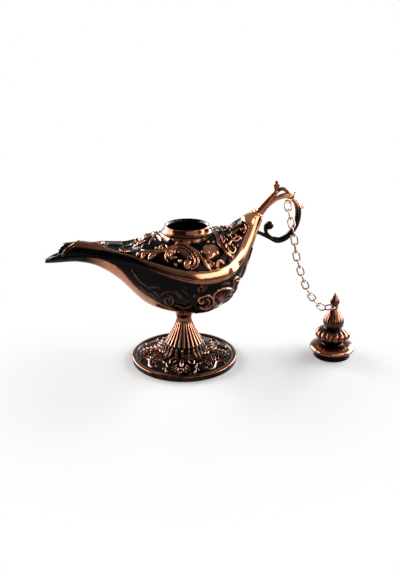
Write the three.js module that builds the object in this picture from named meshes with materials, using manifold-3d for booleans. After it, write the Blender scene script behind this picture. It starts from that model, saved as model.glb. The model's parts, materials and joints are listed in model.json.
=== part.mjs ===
// A genie lamp incense burner: a boat-shaped bowl under a domed cover, on a fluted foot, with a scroll
// handle and a stopper that stands beside it on a chain of hooked links.
// Millimetres, +Z up. +X runs from the spout to the handle. The origin is the middle of the foot's underside.
import * as THREE from "three";
import { mergeVertices } from "three/addons/utils/BufferGeometryUtils.js";
import Module from "manifold-3d";

const wasm = await Module();
wasm.setup();

// Clearances
const SEAT_GAP = 0.25; // between castings that sit on or in one another
const CHAIN_GAP = 0.15; // between the wires of two hooked links

// Foot with its fluted stem
const FOOT_RADIUS = 24.5;
const FOOT_EDGE_HEIGHT = 2.7;
const FOOT_LIP_WIDTH = 1.9;
const FOOT_FIELD_DROP = 0.5; // the ornament field lies this far below the lip
const FOOT_FIELD_RISE = 2.2; // and climbs this much on its way to the stem
const FOOT_BEVEL = 0.5;
const STEM_FOOT_RADIUS = 10.1;
const STEM_WAIST_RADIUS = 3.4;
const STEM_WAIST_HEIGHT = 20.9;
const STEM_HEIGHT = 24.4;
const STEM_COLLAR_RADIUS = 4.45;
const STEM_COLLAR_EDGE = 0.6;
const FLUTE_COUNT = 24;
const FLUTE_FOOT_HEIGHT = 7;
const FLUTE_DEPTH = 0.1; // share of the stem's radius

// Cast shells of the body
const WALL = 1.4;
const THINNEST_SHARE = 0.3; // a section thinner than the wall keeps this share hollow
const SECTION_POWER = 2.25; // 2 is an ellipse, more is squarer
const BAND_PROUD = 0.7; // smooth band along the cover's lower edge
const BEAD_PROUD = 0.5; // thin bead along the bowl's upper edge

// The body is lofted through stations from the spout's tip to the end of the neck. Heights are above the
// seat on the stem. keel and crown are the lowest and highest points [x, z], rim is the seam's place between
// them, and half is the half width at the seam.
const STATIONS = [
  { keel: [-62.3, 22.8], crown: [-62.0, 25.4], rim: 0.78, half: 0.9 },
  { keel: [-58.8, 23.0], crown: [-58.3, 28.0], rim: 0.68, half: 2.5 },
  { keel: [-54.5, 23.4], crown: [-54.3, 30.7], rim: 0.53, half: 3.5 },
  { keel: [-47.0, 23.7], crown: [-47.3, 33.1], rim: 0.5, half: 4.4 },
  { keel: [-38.2, 21.7], crown: [-37.5, 32.0], rim: 0.68, half: 6.0 },
  { keel: [-28.8, 15.7], crown: [-26.0, 32.0], rim: 0.77, half: 9.4 },
  { keel: [-16.5, 4.4], crown: [-15.0, 35.2], rim: 0.738, half: 15.0 },
  { keel: [-2.5, 0.6], crown: [-2.5, 37.0], rim: 0.648, half: 19.4 },
  { keel: [10.0, 1.4], crown: [9.0, 37.4], rim: 0.586, half: 20.6 },
  { keel: [20.8, 7.8], crown: [16.5, 38.2], rim: 0.52, half: 18.0 },
  { keel: [26.4, 18.0], crown: [20.8, 39.8], rim: 0.42, half: 12.6 },
  { keel: [30.2, 29.0], crown: [24.0, 42.0], rim: 0.34, half: 7.9 },
  { keel: [32.9, 37.4], crown: [27.0, 44.8], rim: 0.31, half: 4.8 },
  { keel: [34.75, 44.04], crown: [30.45, 47.46], rim: 0.32, half: 2.75 },
];
const BODY_STEPS = 26;
const COVER_START = 1.75; // the cover begins here, between stations 1 and 2, and leaves the bowl's lip bare

// Mouth
const MOUTH_STATION = 7.337; // along the crown, a little behind the foot's axis
const MOUTH_BORE_RADIUS = 8.95;
const MOUTH_PAD_RADIUS = 11.4;
const MOUTH_PAD_SPREAD = 1.1; // from its top down to its foot
const MOUTH_PAD_RISE = 0.45; // above the crown
const MOUTH_PAD_DEPTH = 3.6;
const COLLAR_WALL = 0.9;
const COLLAR_HEIGHT = 3.0;
const COLLAR_LIP = 0.4; // the bore opens to a lip this thick
const COLLAR_FLANGE_RADIUS = 11.3;
const COLLAR_FLANGE_HEIGHT = 0.7;

// Main forms of the cover's ornament, on one side of two that mirror each other. A spot is a station and a
// place round the section, which is 0 at the seam and 1 on the crown.
const RIDGE_RISE = 1.0;
const RIDGE_ROOT = 0.4; // how deep a ridge or boss is sunk in the cover
const RIDGES = {
  greatScroll: {
    width: 1.5,
    spots: [[6.72, 0.22], [6.69, 0.4], [6.85, 0.54], [7.12, 0.59], [7.45, 0.51], [7.68, 0.34], [7.57, 0.18]],
  },
  scrollLeaf: { width: 1.7, spots: [[7.0, 0.48], [7.25, 0.46], [7.46, 0.33]] },
  stem: { width: 1.1, spots: [[7.21, 0.62], [7.65, 0.5], [8.0, 0.3], [8.24, 0.15]] },
  tendril: { width: 1.1, spots: [[8.55, 0.88], [8.83, 0.62], [9.16, 0.39], [9.61, 0.19]] },
  backCurl: { width: 0.9, spots: [[9.3, 0.54], [9.42, 0.36], [9.8, 0.26], [9.95, 0.34]] },
  backScroll: { width: 0.9, spots: [[9.75, 0.64], [10.06, 0.52], [10.5, 0.42], [10.74, 0.3]] },
  neckLeaf: { width: 1.0, spots: [[9.98, 0.82], [10.7, 0.79], [11.5, 0.63]] },
  spoutTendril: { width: 0.9, spots: [[5.75, 0.46], [6.2, 0.42], [6.59, 0.47], [6.65, 0.58]] },
  firstTip: { width: 1.5, spots: [[6.08, 0.19], [6.31, 0.33]] },
  secondTip: { width: 1.3, spots: [[5.83, 0.19], [5.93, 0.36]] },
  spoutLeaf: { width: 1.2, spots: [[4.85, 0.58], [5.35, 0.42]] },
};
const BOSSES = {
  rose: { radius: 3.9, spot: [8.27, 0.49] },
  scrollBall: { radius: 1.6, spot: [7.4, 0.24] },
  spoutPearl: { radius: 1.3, spot: [4.16, 0.96] },
};

// Screw that draws the stem against the bowl
const SCREW_RADIUS = 1.5;
const SCREW_LENGTH = 11;
const SCREW_HEAD_RADIUS = 2.9;
const SCREW_HEAD_HEIGHT = 1.8;
const SCREW_SLOT_WIDTH = 0.8;
const SCREW_SLOT_DEPTH = 0.8;
const WASHER_RADIUS = 3.9;
const WASHER_THICKNESS = 0.8;
const BOWL_FLOOR_HEIGHT = 4.6; // top of the boss in the bowl, above the seat

// Neck ferrule and scroll handle
const FERRULE_LENGTH = 1.3;
const FERRULE_PROUD = 0.45;
const FERRULE_WALL = 0.9;
const HORN_LENGTH = 13.0;
const HORN_ROOT_RADIUS = 1.95;
const HORN_TIP_RADIUS = 1.0;
const HORN_PIN_LENGTH = 2.4; // inside the neck
const HORN_PIN_RADIUS = 0.95;
const BUD_HEIGHT = 4.6;
const BUD_RADIUS = 1.35;
const ROD_HALF_WIDTH = 1.35; // across the loop, in its plane
const ROD_HALF_DEPTH = 1.4; // square to the loop
const ROD_THIN = 0.8; // half width of the strands where they spring and end
const VOLUTE_BALL_RADIUS = 1.9;
const THORN_LENGTH = 1.6;
const THORN_RADIUS = 0.9;

// Stopper, standing on its plug beside the foot
const STOPPER_AT = [70.0, 3.5];
const PLUG_CLEARANCE = 0.35;
const PLUG_HEIGHT = 3.0;
const PLUG_WALL = 1.6;
const PLUG_SPIGOT_LENGTH = 2.0;
const CAP_RADIUS = 10.5;
const CAP_THICKNESS = 3.0;
const KNOB_RADIUS = 8.2;
const KNOB_HEIGHT = 8.3;
const KNOB_NECK_RADIUS = 4.7;
const KNOB_LOBES = 16;
const KNOB_LOBE_DEPTH = 0.09;
const FINIAL_RADIUS = 4.9;
const FINIAL_HEIGHT = 17.3;
const FINIAL_WAIST_RADIUS = 1.55;
const FINIAL_WAIST_SHARE = 0.6; // of the finial's height
const FINIAL_TIP_RADIUS = 2.25;
const FINIAL_FLUTES = 16;
const FINIAL_FLUTE_DEPTH = 0.06;

// Chain
const WIRE_RADIUS = 0.35;
const LINK_COUNT = 15; // odd, so that the last link lies flat as the first does
const LINK_WIDTH = 3.4;
const TOP_RING_RADIUS = 2.7; // to the middle of the wire, as the next one is
const END_RING_RADIUS = 2.8;
const TOP_RING_PLACE = 0.308; // share of the way round the handle's loop
const END_RING_LEAN = [-0.97, -0.1, -0.15]; // from the stopper's eye to the chain
// Where the chain hangs between the rings, in front of the loop and down to the stopper: x, y and z above
// the table.
const CHAIN_POINTS = [
  [46.4, -2.6, 70.8],
  [47.8, -4.1, 65.4],
  [49.0, -4.3, 59.6],
  [49.9, -3.9, 53.0],
  [52.1, -2.8, 45.9],
  [54.5, -1.5, 38.8],
  [57.8, 0.2, 32.0],
  [61.0, 1.7, 27.6],
];

// Facets
const ROUND_STEPS = 32;
const SMALL_ROUND_STEPS = 18;
const ROD_SIDES = 8;
const ROD_STEPS = 26;
const LINK_STEPS = 10;
const RING_STEPS = 18;
const WIRE_SIDES = 6;
const MERGE_DISTANCE = 1e-4;

// Finishes of antiqued copper plate
const finishes = {
  copper: { color: 0x8a4b2b, roughness: 0.32, metalness: 1 },
  patina: { color: 0x2a1a14, roughness: 0.45, metalness: 1 },
  chain: { color: 0xb98a72, roughness: 0.3, metalness: 1 },
  plug: { color: 0x17130f, roughness: 0.6, metalness: 0.6 },
  screw: { color: 0x8f8f8c, roughness: 0.4, metalness: 1 },
};
const materials = Object.fromEntries(
  Object.entries(finishes).map(([name, finish]) => [
    name,
    new THREE.MeshStandardMaterial({ name, ...finish }),
  ]),
);

const point = (x, y, z) => new THREE.Vector3(x, y, z);
const inPlane = ([x, z]) => point(x, 0, z);
const UP = point(0, 0, 1);
const ACROSS = point(0, 1, 0);

// Solids
// A closed geometry as a solid for joining and cutting. Faces that collapse at an axis are left out.
function solidOf(geometry) {
  const bare = geometry.index ? geometry.toNonIndexed() : geometry.clone();
  bare.deleteAttribute("normal");
  bare.deleteAttribute("uv");
  const merged = mergeVertices(bare, MERGE_DISTANCE);
  const corners = [];
  for (let i = 0; i < merged.index.count; i += 3) {
    const [a, b, c] = merged.index.array.subarray(i, i + 3);
    if (a !== b && b !== c && c !== a) corners.push(a, b, c);
  }
  const build = (order) =>
    new wasm.Manifold(
      new wasm.Mesh({
        numProp: 3,
        vertProperties: Float32Array.from(merged.attributes.position.array),
        triVerts: Uint32Array.from(order),
      }),
    );
  const solid = build(corners);
  return solid.volume() > 0 ? solid : build(corners.reverse());
}

function geometryOf(solid) {
  const { numProp, vertProperties, triVerts } = solid.getMesh();
  const positions = [];
  for (let i = 0; i < vertProperties.length; i += numProp)
    positions.push(...vertProperties.subarray(i, i + 3));
  const geometry = new THREE.BufferGeometry();
  geometry.setAttribute("position", new THREE.Float32BufferAttribute(positions, 3));
  geometry.setIndex(Array.from(triVerts));
  geometry.computeVertexNormals();
  return geometry;
}

const union = (...geometries) => geometries.map(solidOf).reduce((whole, next) => whole.add(next));

function piece(name, solid, material) {
  const mesh = new THREE.Mesh(geometryOf(solid), material);
  mesh.name = name;
  return mesh;
}

// Skin over rings of equal length. A row of rings is capped at both ends by fans to their middles, unless it
// is a loop or has its own caps.
function skin(rings, { looped = false, caps = fanCaps } = {}) {
  const count = rings[0].length;
  const points = rings.flat();
  const corners = [];
  const at = (row, i) => (row % rings.length) * count + (i % count);
  const rows = looped ? rings.length : rings.length - 1;
  for (let row = 0; row < rows; row++)
    for (let i = 0; i < count; i++) {
      corners.push(at(row, i), at(row, i + 1), at(row + 1, i + 1));
      corners.push(at(row, i), at(row + 1, i + 1), at(row + 1, i));
    }
  if (!looped) caps(rings, points, corners, at);
  const geometry = new THREE.BufferGeometry().setFromPoints(points);
  geometry.setIndex(corners);
  return geometry;
}

function fanCaps(rings, points, corners, at) {
  const count = rings[0].length;
  for (const row of [0, rings.length - 1]) {
    const middle = rings[row].reduce((sum, p) => sum.add(p), point(0, 0, 0)).divideScalar(count);
    points.push(middle);
    for (let i = 0; i < count; i++) {
      const edge = [at(row, i), at(row, i + 1)];
      corners.push(points.length - 1, ...(row ? edge : edge.reverse()));
    }
  }
}

// The cut ends of a shell, whose ring runs along the outside and back along the inside.
function shellCaps(rings, points, corners, at) {
  const count = rings[0].length;
  for (const row of [0, rings.length - 1])
    for (let i = 0; i + 1 < count / 2; i++) {
      const quad = [at(row, i), at(row, i + 1), at(row, count - 2 - i), at(row, count - 1 - i)];
      const [a, b, c, d] = row ? quad : quad.reverse();
      corners.push(a, b, c, a, c, d);
    }
}

// A profile of [radius, height] turned about +Z. wave(angle, radius, height) scales the radius, for flutes
// and lobes.
function turned(profile, steps, wave = () => 1) {
  const outline = profile.map(([radius, height]) => new THREE.Vector2(radius, height));
  const geometry = new THREE.LatheGeometry(outline, steps).rotateX(Math.PI / 2);
  const place = geometry.attributes.position;
  for (let i = 0; i < place.count; i++) {
    const [x, y, z] = [place.getX(i), place.getY(i), place.getZ(i)];
    const scale = wave(Math.atan2(y, x), Math.hypot(x, y), z);
    place.setXYZ(i, x * scale, y * scale, z);
  }
  return geometry;
}

// A smooth profile through [radius, height] points, for the rounded stretches of turned pieces.
function smooth(profile, steps) {
  const curve = new THREE.SplineCurve(profile.map(([radius, height]) => new THREE.Vector2(radius, height)));
  return curve.getPoints(steps).map(({ x, y }) => [Math.max(x, 0), y]);
}

function cylinder(radius, low, high, steps = ROUND_STEPS) {
  return turned([[0, low], [radius, low], [radius, high], [0, high]], steps);
}

// Turns what stands on +Z so that it stands at a place and points along a direction.
function stood(geometry, place, direction) {
  const turn = new THREE.Quaternion().setFromUnitVectors(UP, direction);
  return geometry.applyQuaternion(turn).translate(place.x, place.y, place.z);
}

// Body shells
const along = (read) => new THREE.CatmullRomCurve3(STATIONS.map(read), false, "catmullrom", 0.5);
const keelLine = along(({ keel }) => inPlane(keel));
const crownLine = along(({ crown }) => inPlane(crown));
const widthLine = along(({ rim, half }) => point(rim, half, 0));

// One cross-section: the seam's middle, the way up, the half width, and how far the crown and keel lie from
// the seam.
function sectionAt(station) {
  const t = station / (STATIONS.length - 1);
  const keel = keelLine.getPoint(t);
  const crown = crownLine.getPoint(t);
  const { x: rim, y: half } = widthLine.getPoint(t);
  const span = keel.distanceTo(crown);
  const up = crown.clone().sub(keel).divideScalar(span);
  const seam = keel.clone().lerp(crown, rim);
  return { keel, crown, seam, up, half, rise: (1 - rim) * span, drop: rim * span };
}

// The mouth stands on the crown.
const mouth = crownLine.getPoint(MOUTH_STATION / (STATIONS.length - 1));
const padTop = mouth.z + MOUTH_PAD_RISE;
const padLow = padTop - MOUTH_PAD_DEPTH;

const hollowed = (size) => Math.max(size - WALL, THINNEST_SHARE * size);

// Places round a half section, from one seam (0) over the middle (1) to the other seam (2), closer near the
// seams, with how far the moulding along the seam stands proud there.
const SEAM_PLACES = [0, 0.05, 0.11, 0.14, 0.3, 0.5, 0.75];
const COVER_MOULDING = [0.7, 1, 0.8, 0];
const BOWL_MOULDING = [0.8, 1, 0, 0];
const ROUND_PLACES = [...SEAM_PLACES, 1, ...SEAM_PLACES.map((place) => 2 - place).reverse()];

// A point of half a section, which is half a superellipse. side says whether it climbs to the crown (+1) or
// drops to the keel (-1), and gap is its distance from the seam.
function roundPoint({ seam, up }, side, gap, half, height, place) {
  const angle = (place * Math.PI) / 2;
  const across = Math.sign(Math.cos(angle)) * Math.abs(Math.cos(angle)) ** (2 / SECTION_POWER) * half;
  const climb = Math.max(Math.sin(angle), 0) ** (2 / SECTION_POWER) * height;
  return seam.clone().addScaledVector(up, side * (gap + climb)).addScaledVector(ACROSS, across);
}

// Half a section as a ring: along the outside from seam to seam, then back along the inside.
function halfRing(section, side, moulding, proud, gap) {
  const reach = (side > 0 ? section.rise : section.drop) - gap;
  const slimness = Math.min(1, section.half / (4 * proud));
  const arc = (half, height, swell) =>
    ROUND_PLACES.map((place, i) => {
      const fromSeam = Math.min(i, ROUND_PLACES.length - 1 - i);
      const wide = half + swell * proud * slimness * (moulding[fromSeam] ?? 0);
      return roundPoint(section, side, gap, wide, height, place);
    });
  return [...arc(section.half, reach, 1), ...arc(hollowed(section.half), hollowed(reach), 0).reverse()];
}

function shell(first, side, moulding, proud, gap) {
  const last = STATIONS.length - 1;
  const rings = Array.from({ length: BODY_STEPS + 1 }, (_, i) =>
    halfRing(sectionAt(first + ((last - first) * i) / BODY_STEPS), side, moulding, proud, gap),
  );
  return skin(rings, { caps: shellCaps });
}

function bowl() {
  const boss = cylinder(STEM_COLLAR_RADIUS, 0, BOWL_FLOOR_HEIGHT);
  const screwHole = cylinder(SCREW_RADIUS + SEAT_GAP, -1, BOWL_FLOOR_HEIGHT + 1, SMALL_ROUND_STEPS);
  const cast = union(shell(0, -1, BOWL_MOULDING, BEAD_PROUD, 0), boss).subtract(solidOf(screwHole));
  return piece("bowl", cast, materials.patina);
}

// Ornament of the cover
function coverPoint(station, place) {
  const section = sectionAt(station);
  return roundPoint(section, 1, SEAT_GAP, section.half, section.rise - SEAT_GAP, place);
}

function coverNormal(station, place) {
  const step = 0.01;
  const along = coverPoint(station + step, place).sub(coverPoint(station - step, place));
  const round = coverPoint(station, place + step).sub(coverPoint(station, place - step));
  return round.cross(along).normalize();
}

// A ridge of three-sided section along a smooth line of spots, slimmer and lower towards its ends.
function ridge({ width, spots }) {
  const line = new THREE.CatmullRomCurve3(spots.map(([station, place]) => point(station, place, 0)));
  const steps = Math.ceil(1.4 * (spots.length - 1));
  const spine = line.getPoints(steps);
  const rings = spine.map(({ x: station, y: place }, i) => {
    const before = spine[Math.max(i - 1, 0)];
    const after = spine[Math.min(i + 1, steps)];
    const way = coverPoint(after.x, after.y).sub(coverPoint(before.x, before.y)).normalize();
    const out = coverNormal(station, place);
    const sideways = new THREE.Vector3().crossVectors(out, way);
    const fullness = Math.sin(Math.PI * THREE.MathUtils.lerp(0.2, 0.8, i / steps));
    const foot = coverPoint(station, place);
    const root = foot.clone().addScaledVector(out, -RIDGE_ROOT);
    return [
      root.clone().addScaledVector(sideways, width * fullness),
      foot.clone().addScaledVector(out, RIDGE_RISE * fullness),
      root.clone().addScaledVector(sideways, -width * fullness),
    ];
  });
  return skin(rings);
}

function boss({ radius, spot }) {
  const dome = turned(
    [[0, -RIDGE_ROOT], [radius, -RIDGE_ROOT], [0.85 * radius, 0.6 * RIDGE_RISE], [0, RIDGE_RISE]],
    7,
  );
  return stood(dome, coverPoint(...spot), coverNormal(...spot));
}

function ornament() {
  const mirrored = ([station, place]) => [station, 2 - place];
  const ridges = Object.values(RIDGES).flatMap(({ width, spots }) => [
    ridge({ width, spots }),
    ridge({ width, spots: spots.map(mirrored) }),
  ]);
  const bosses = Object.values(BOSSES).flatMap(({ radius, spot }) => [
    boss({ radius, spot }),
    boss({ radius, spot: mirrored(spot) }),
  ]);
  return [...ridges, ...bosses];
}

function cover() {
  const padFoot = MOUTH_PAD_RADIUS + MOUTH_PAD_SPREAD;
  const pad = turned([[0, padLow], [padFoot, padLow], [MOUTH_PAD_RADIUS, padTop], [0, padTop]], ROUND_STEPS);
  pad.translate(mouth.x, 0, 0);
  const boreRadius = MOUTH_BORE_RADIUS + COLLAR_WALL + SEAT_GAP;
  const bore = cylinder(boreRadius, padLow - MOUTH_PAD_DEPTH, padTop + MOUTH_PAD_DEPTH);
  const domed = union(shell(COVER_START, 1, COVER_MOULDING, BAND_PROUD, SEAT_GAP), pad, ...ornament());
  return piece("cover", domed.subtract(solidOf(bore.translate(mouth.x, 0, 0))), materials.copper);
}

// The turned collar of the mouth sits on the cover's pad, with a spigot in its bore.
function mouthCollar() {
  const seat = padTop + SEAT_GAP;
  const top = seat + COLLAR_HEIGHT;
  const spigot = MOUTH_BORE_RADIUS + COLLAR_WALL;
  const shoulder = seat + COLLAR_FLANGE_HEIGHT;
  const profile = [
    [MOUTH_BORE_RADIUS, padLow],
    [spigot, padLow],
    [spigot, seat],
    [COLLAR_FLANGE_RADIUS, seat],
    [COLLAR_FLANGE_RADIUS, seat + COLLAR_FLANGE_HEIGHT / 2],
    [(COLLAR_FLANGE_RADIUS + spigot) / 2, shoulder],
    [(COLLAR_FLANGE_RADIUS + 2 * spigot) / 3, shoulder + (top - shoulder) / 3],
    [spigot, top],
    [spigot - COLLAR_LIP, top],
    [MOUTH_BORE_RADIUS, top - COLLAR_HEIGHT / 3],
    [MOUTH_BORE_RADIUS, padLow],
  ];
  const ring = turned(profile, ROUND_STEPS).translate(mouth.x, 0, 0);
  return piece("mouth_collar", solidOf(ring), materials.copper);
}

// Foot and screw
const BODY_SEAT = STEM_HEIGHT + SEAT_GAP; // the bowl's boss stands here
const screwReach = SCREW_LENGTH - BOWL_FLOOR_HEIGHT - WASHER_THICKNESS - 3 * SEAT_GAP;

function pedestalFoot() {
  const field = FOOT_EDGE_HEIGHT - FOOT_FIELD_DROP;
  const stemFoot = field + FOOT_FIELD_RISE;
  const stemRise = STEM_WAIST_HEIGHT - stemFoot;
  const stemSpread = STEM_FOOT_RADIUS - STEM_WAIST_RADIUS;
  const flare = smooth(
    [
      [STEM_FOOT_RADIUS, stemFoot],
      [STEM_WAIST_RADIUS + 0.82 * stemSpread, stemFoot + 0.28 * stemRise],
      [STEM_WAIST_RADIUS + 0.46 * stemSpread, stemFoot + 0.54 * stemRise],
      [STEM_WAIST_RADIUS + 0.14 * stemSpread, stemFoot + 0.8 * stemRise],
      [STEM_WAIST_RADIUS, STEM_WAIST_HEIGHT],
    ],
    7,
  );
  const profile = [
    [0, 0],
    [FOOT_RADIUS - FOOT_BEVEL, 0],
    [FOOT_RADIUS, FOOT_BEVEL],
    [FOOT_RADIUS, FOOT_EDGE_HEIGHT - FOOT_BEVEL],
    [FOOT_RADIUS - FOOT_BEVEL, FOOT_EDGE_HEIGHT],
    [FOOT_RADIUS - FOOT_LIP_WIDTH, FOOT_EDGE_HEIGHT],
    [FOOT_RADIUS - FOOT_LIP_WIDTH - FOOT_FIELD_DROP, field],
    [(FOOT_RADIUS + STEM_FOOT_RADIUS) / 2, field + 0.35 * FOOT_FIELD_RISE],
    [STEM_FOOT_RADIUS + FOOT_BEVEL, stemFoot - FOOT_BEVEL],
    ...flare,
    [STEM_COLLAR_RADIUS, STEM_HEIGHT - STEM_COLLAR_EDGE],
    [STEM_COLLAR_RADIUS, STEM_HEIGHT],
    [0, STEM_HEIGHT],
  ];
  const inFlutes = (height) => height > FLUTE_FOOT_HEIGHT && height < STEM_WAIST_HEIGHT - FOOT_BEVEL / 2;
  const flute = (angle, radius, height) =>
    1 - (inFlutes(height) ? (FLUTE_DEPTH * (1 + Math.cos(FLUTE_COUNT * angle))) / 2 : 0);
  const cast = solidOf(turned(profile, 2 * FLUTE_COUNT, flute));
  const tappedLow = STEM_HEIGHT - screwReach - 1;
  const tapped = cylinder(SCREW_RADIUS + SEAT_GAP, tappedLow, STEM_HEIGHT + 1, SMALL_ROUND_STEPS);
  return piece("pedestal_foot", cast.subtract(solidOf(tapped)), materials.patina);
}

// The screw is put in through the mouth, so its head lies on the washer on the bowl's floor.
function screwWasher() {
  const low = BOWL_FLOOR_HEIGHT + SEAT_GAP;
  const inner = SCREW_RADIUS + SEAT_GAP;
  const high = low + WASHER_THICKNESS;
  const profile = [[inner, low], [WASHER_RADIUS, low], [WASHER_RADIUS, high], [inner, high], [inner, low]];
  return piece("screw_washer", solidOf(turned(profile, SMALL_ROUND_STEPS)), materials.screw);
}

function footScrew() {
  const head = BOWL_FLOOR_HEIGHT + WASHER_THICKNESS + 2 * SEAT_GAP;
  const top = head + SCREW_HEAD_HEIGHT;
  const profile = [
    [0, head - SCREW_LENGTH],
    [0.7 * SCREW_RADIUS, head - SCREW_LENGTH],
    [SCREW_RADIUS, head - SCREW_LENGTH + 0.6 * SCREW_RADIUS],
    [SCREW_RADIUS, head],
    [SCREW_HEAD_RADIUS, head],
    [SCREW_HEAD_RADIUS, head + 0.5 * SCREW_HEAD_HEIGHT],
    [0.7 * SCREW_HEAD_RADIUS, head + 0.9 * SCREW_HEAD_HEIGHT],
    [0, top],
  ];
  const slot = new THREE.BoxGeometry(3 * SCREW_HEAD_RADIUS, SCREW_SLOT_WIDTH, 2 * SCREW_SLOT_DEPTH);
  slot.translate(0, 0, top);
  const turnedScrew = solidOf(turned(profile, SMALL_ROUND_STEPS));
  return piece("foot_screw", turnedScrew.subtract(solidOf(slot)), materials.screw);
}

// Handle
const neckEnd = sectionAt(STATIONS.length - 1);
const neckMiddle = neckEnd.keel.clone().lerp(neckEnd.crown, 0.5);
const neckRadius = neckEnd.keel.distanceTo(neckEnd.crown) / 2;
const neckWay = new THREE.Vector3().crossVectors(ACROSS, neckEnd.up);
const neckBack = neckEnd.up.clone().negate();
const onHorn = (out, back) =>
  neckMiddle.clone().addScaledVector(neckWay, out).addScaledVector(neckBack, back);
const ferruleBore = neckRadius + FERRULE_PROUD - FERRULE_WALL;

function neckFerrule() {
  const outer = neckRadius + FERRULE_PROUD;
  const profile = [
    [ferruleBore, 0],
    [outer - FERRULE_PROUD, 0],
    [outer, FERRULE_LENGTH / 3],
    [outer, (2 * FERRULE_LENGTH) / 3],
    [outer - FERRULE_PROUD, FERRULE_LENGTH],
    [ferruleBore, FERRULE_LENGTH],
    [ferruleBore, 0],
  ];
  const ring = stood(turned(profile, SMALL_ROUND_STEPS), onHorn(SEAT_GAP, 0), neckWay);
  return piece("neck_ferrule", solidOf(ring), materials.copper);
}

// A bar of oval section along a curve that lies in the handle's plane. wide(t) is its half width there.
function bar(curve, steps, wide, deep) {
  const rings = Array.from({ length: steps + 1 }, (_, i) => {
    const t = i / steps;
    const middle = curve.getPointAt(t);
    const sideways = new THREE.Vector3().crossVectors(ACROSS, curve.getTangentAt(t));
    return Array.from({ length: ROD_SIDES }, (_unused, k) => {
      const angle = (2 * Math.PI * k) / ROD_SIDES;
      return middle
        .clone()
        .addScaledVector(sideways, wide(t) * Math.cos(angle))
        .addScaledVector(ACROSS, deep(t) * Math.sin(angle));
    });
  });
  return skin(rings);
}

const swelling = (start, most, end) => (t) =>
  THREE.MathUtils.lerp(start, most, THREE.MathUtils.smoothstep(t, 0, 0.3)) +
  (end - most) * THREE.MathUtils.smoothstep(t, 0.75, 1);

// The loop leaves the back of the horn, goes round and comes back to rest on the neck, and a volute branches
// from it inside. A second strand springs from the horn's tip, which leaves a small eye between the two.
const hornTip = onHorn(HORN_LENGTH, 0);
const restStation = 12;
const rest = sectionAt(restStation);
const restWay = new THREE.Vector3().crossVectors(
  sectionAt(restStation + 0.1).keel.sub(sectionAt(restStation - 0.1).keel).normalize(),
  ACROSS,
);
const loopEnd = rest.keel.clone().addScaledVector(restWay, -(ROD_THIN + 2 * SEAT_GAP));
const loopLine = new THREE.CatmullRomCurve3([
  onHorn(FERRULE_LENGTH + 2 * SEAT_GAP + 1.5 * ROD_THIN, HORN_ROOT_RADIUS - ROD_THIN),
  onHorn(7.6, 1.5),
  onHorn(11.0, 2.3),
  inPlane([46.4, 54.0]),
  inPlane([49.6, 50.8]),
  inPlane([50.6, 46.2]),
  inPlane([49.9, 41.4]),
  inPlane([47.6, 37.1]),
  inPlane([45.0, 34.6]),
  inPlane([41.8, 33.6]),
  inPlane([38.4, 35.0]),
  loopEnd,
]);
const voluteLine = new THREE.CatmullRomCurve3([
  inPlane([43.0, 33.7]),
  inPlane([39.4, 34.6]),
  inPlane([36.9, 37.3]),
  inPlane([36.6, 40.4]),
  inPlane([37.9, 41.4]),
]);
const strandLine = new THREE.CatmullRomCurve3([
  onHorn(HORN_LENGTH - 1.2, 0),
  inPlane([43.0, 57.0]),
  inPlane([45.4, 55.9]),
  inPlane([47.0, 53.4]),
]);
const VOLUTE_CENTRE = inPlane([38.1, 40.5]);
const THORN_PLACE = 0.42; // share of the way round the loop

function handleScroll() {
  const horn = turned(
    [
      [0, -HORN_PIN_LENGTH],
      [HORN_PIN_RADIUS, -HORN_PIN_LENGTH],
      [HORN_PIN_RADIUS, SEAT_GAP],
      [ferruleBore - SEAT_GAP, SEAT_GAP],
      [ferruleBore - SEAT_GAP, FERRULE_LENGTH + SEAT_GAP],
      [HORN_ROOT_RADIUS, FERRULE_LENGTH + 2 * SEAT_GAP],
      [HORN_TIP_RADIUS, HORN_LENGTH],
      [0, HORN_LENGTH + HORN_TIP_RADIUS / 2],
    ],
    SMALL_ROUND_STEPS,
  );
  const bud = turned(
    smooth(
      [
        [0, -HORN_TIP_RADIUS],
        [0.75 * HORN_TIP_RADIUS, -0.4 * HORN_TIP_RADIUS],
        [0.7 * BUD_RADIUS, 0.2 * BUD_HEIGHT],
        [BUD_RADIUS, 0.6 * BUD_HEIGHT],
        [0.6 * BUD_RADIUS, 0.93 * BUD_HEIGHT],
        [0, BUD_HEIGHT],
      ],
      9,
    ),
    12,
  );
  const thornRoot = loopLine.getPointAt(THORN_PLACE);
  const thornWay = new THREE.Vector3().crossVectors(loopLine.getTangentAt(THORN_PLACE), ACROSS);
  const thorn = turned([[0, 0], [THORN_RADIUS, 0], [0, ROD_HALF_WIDTH + THORN_LENGTH]], 8);
  const depth = swelling(ROD_THIN, ROD_HALF_DEPTH, ROD_THIN);
  const cast = union(
    stood(horn, neckMiddle, neckWay),
    bud.translate(hornTip.x, hornTip.y, hornTip.z),
    bar(loopLine, ROD_STEPS, swelling(ROD_THIN, ROD_HALF_WIDTH, ROD_THIN), depth),
    bar(strandLine, 8, () => ROD_THIN, () => ROD_THIN),
    bar(voluteLine, 14, (t) => THREE.MathUtils.lerp(1.15, ROD_THIN, t), () => ROD_HALF_DEPTH * 0.8),
    new THREE.SphereGeometry(VOLUTE_BALL_RADIUS, 11, 7).translate(VOLUTE_CENTRE.x, 0, VOLUTE_CENTRE.z),
    stood(thorn, thornRoot, thornWay),
  );
  return piece("handle_scroll", cast, materials.copper);
}

// Stopper
const plugRadius = MOUTH_BORE_RADIUS - PLUG_CLEARANCE;
const capLow = PLUG_HEIGHT + SEAT_GAP;
const capTop = capLow + CAP_THICKNESS;
const knobTop = capTop + KNOB_HEIGHT;
const eyeHeight = knobTop + FINIAL_WAIST_SHARE * FINIAL_HEIGHT;
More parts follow.
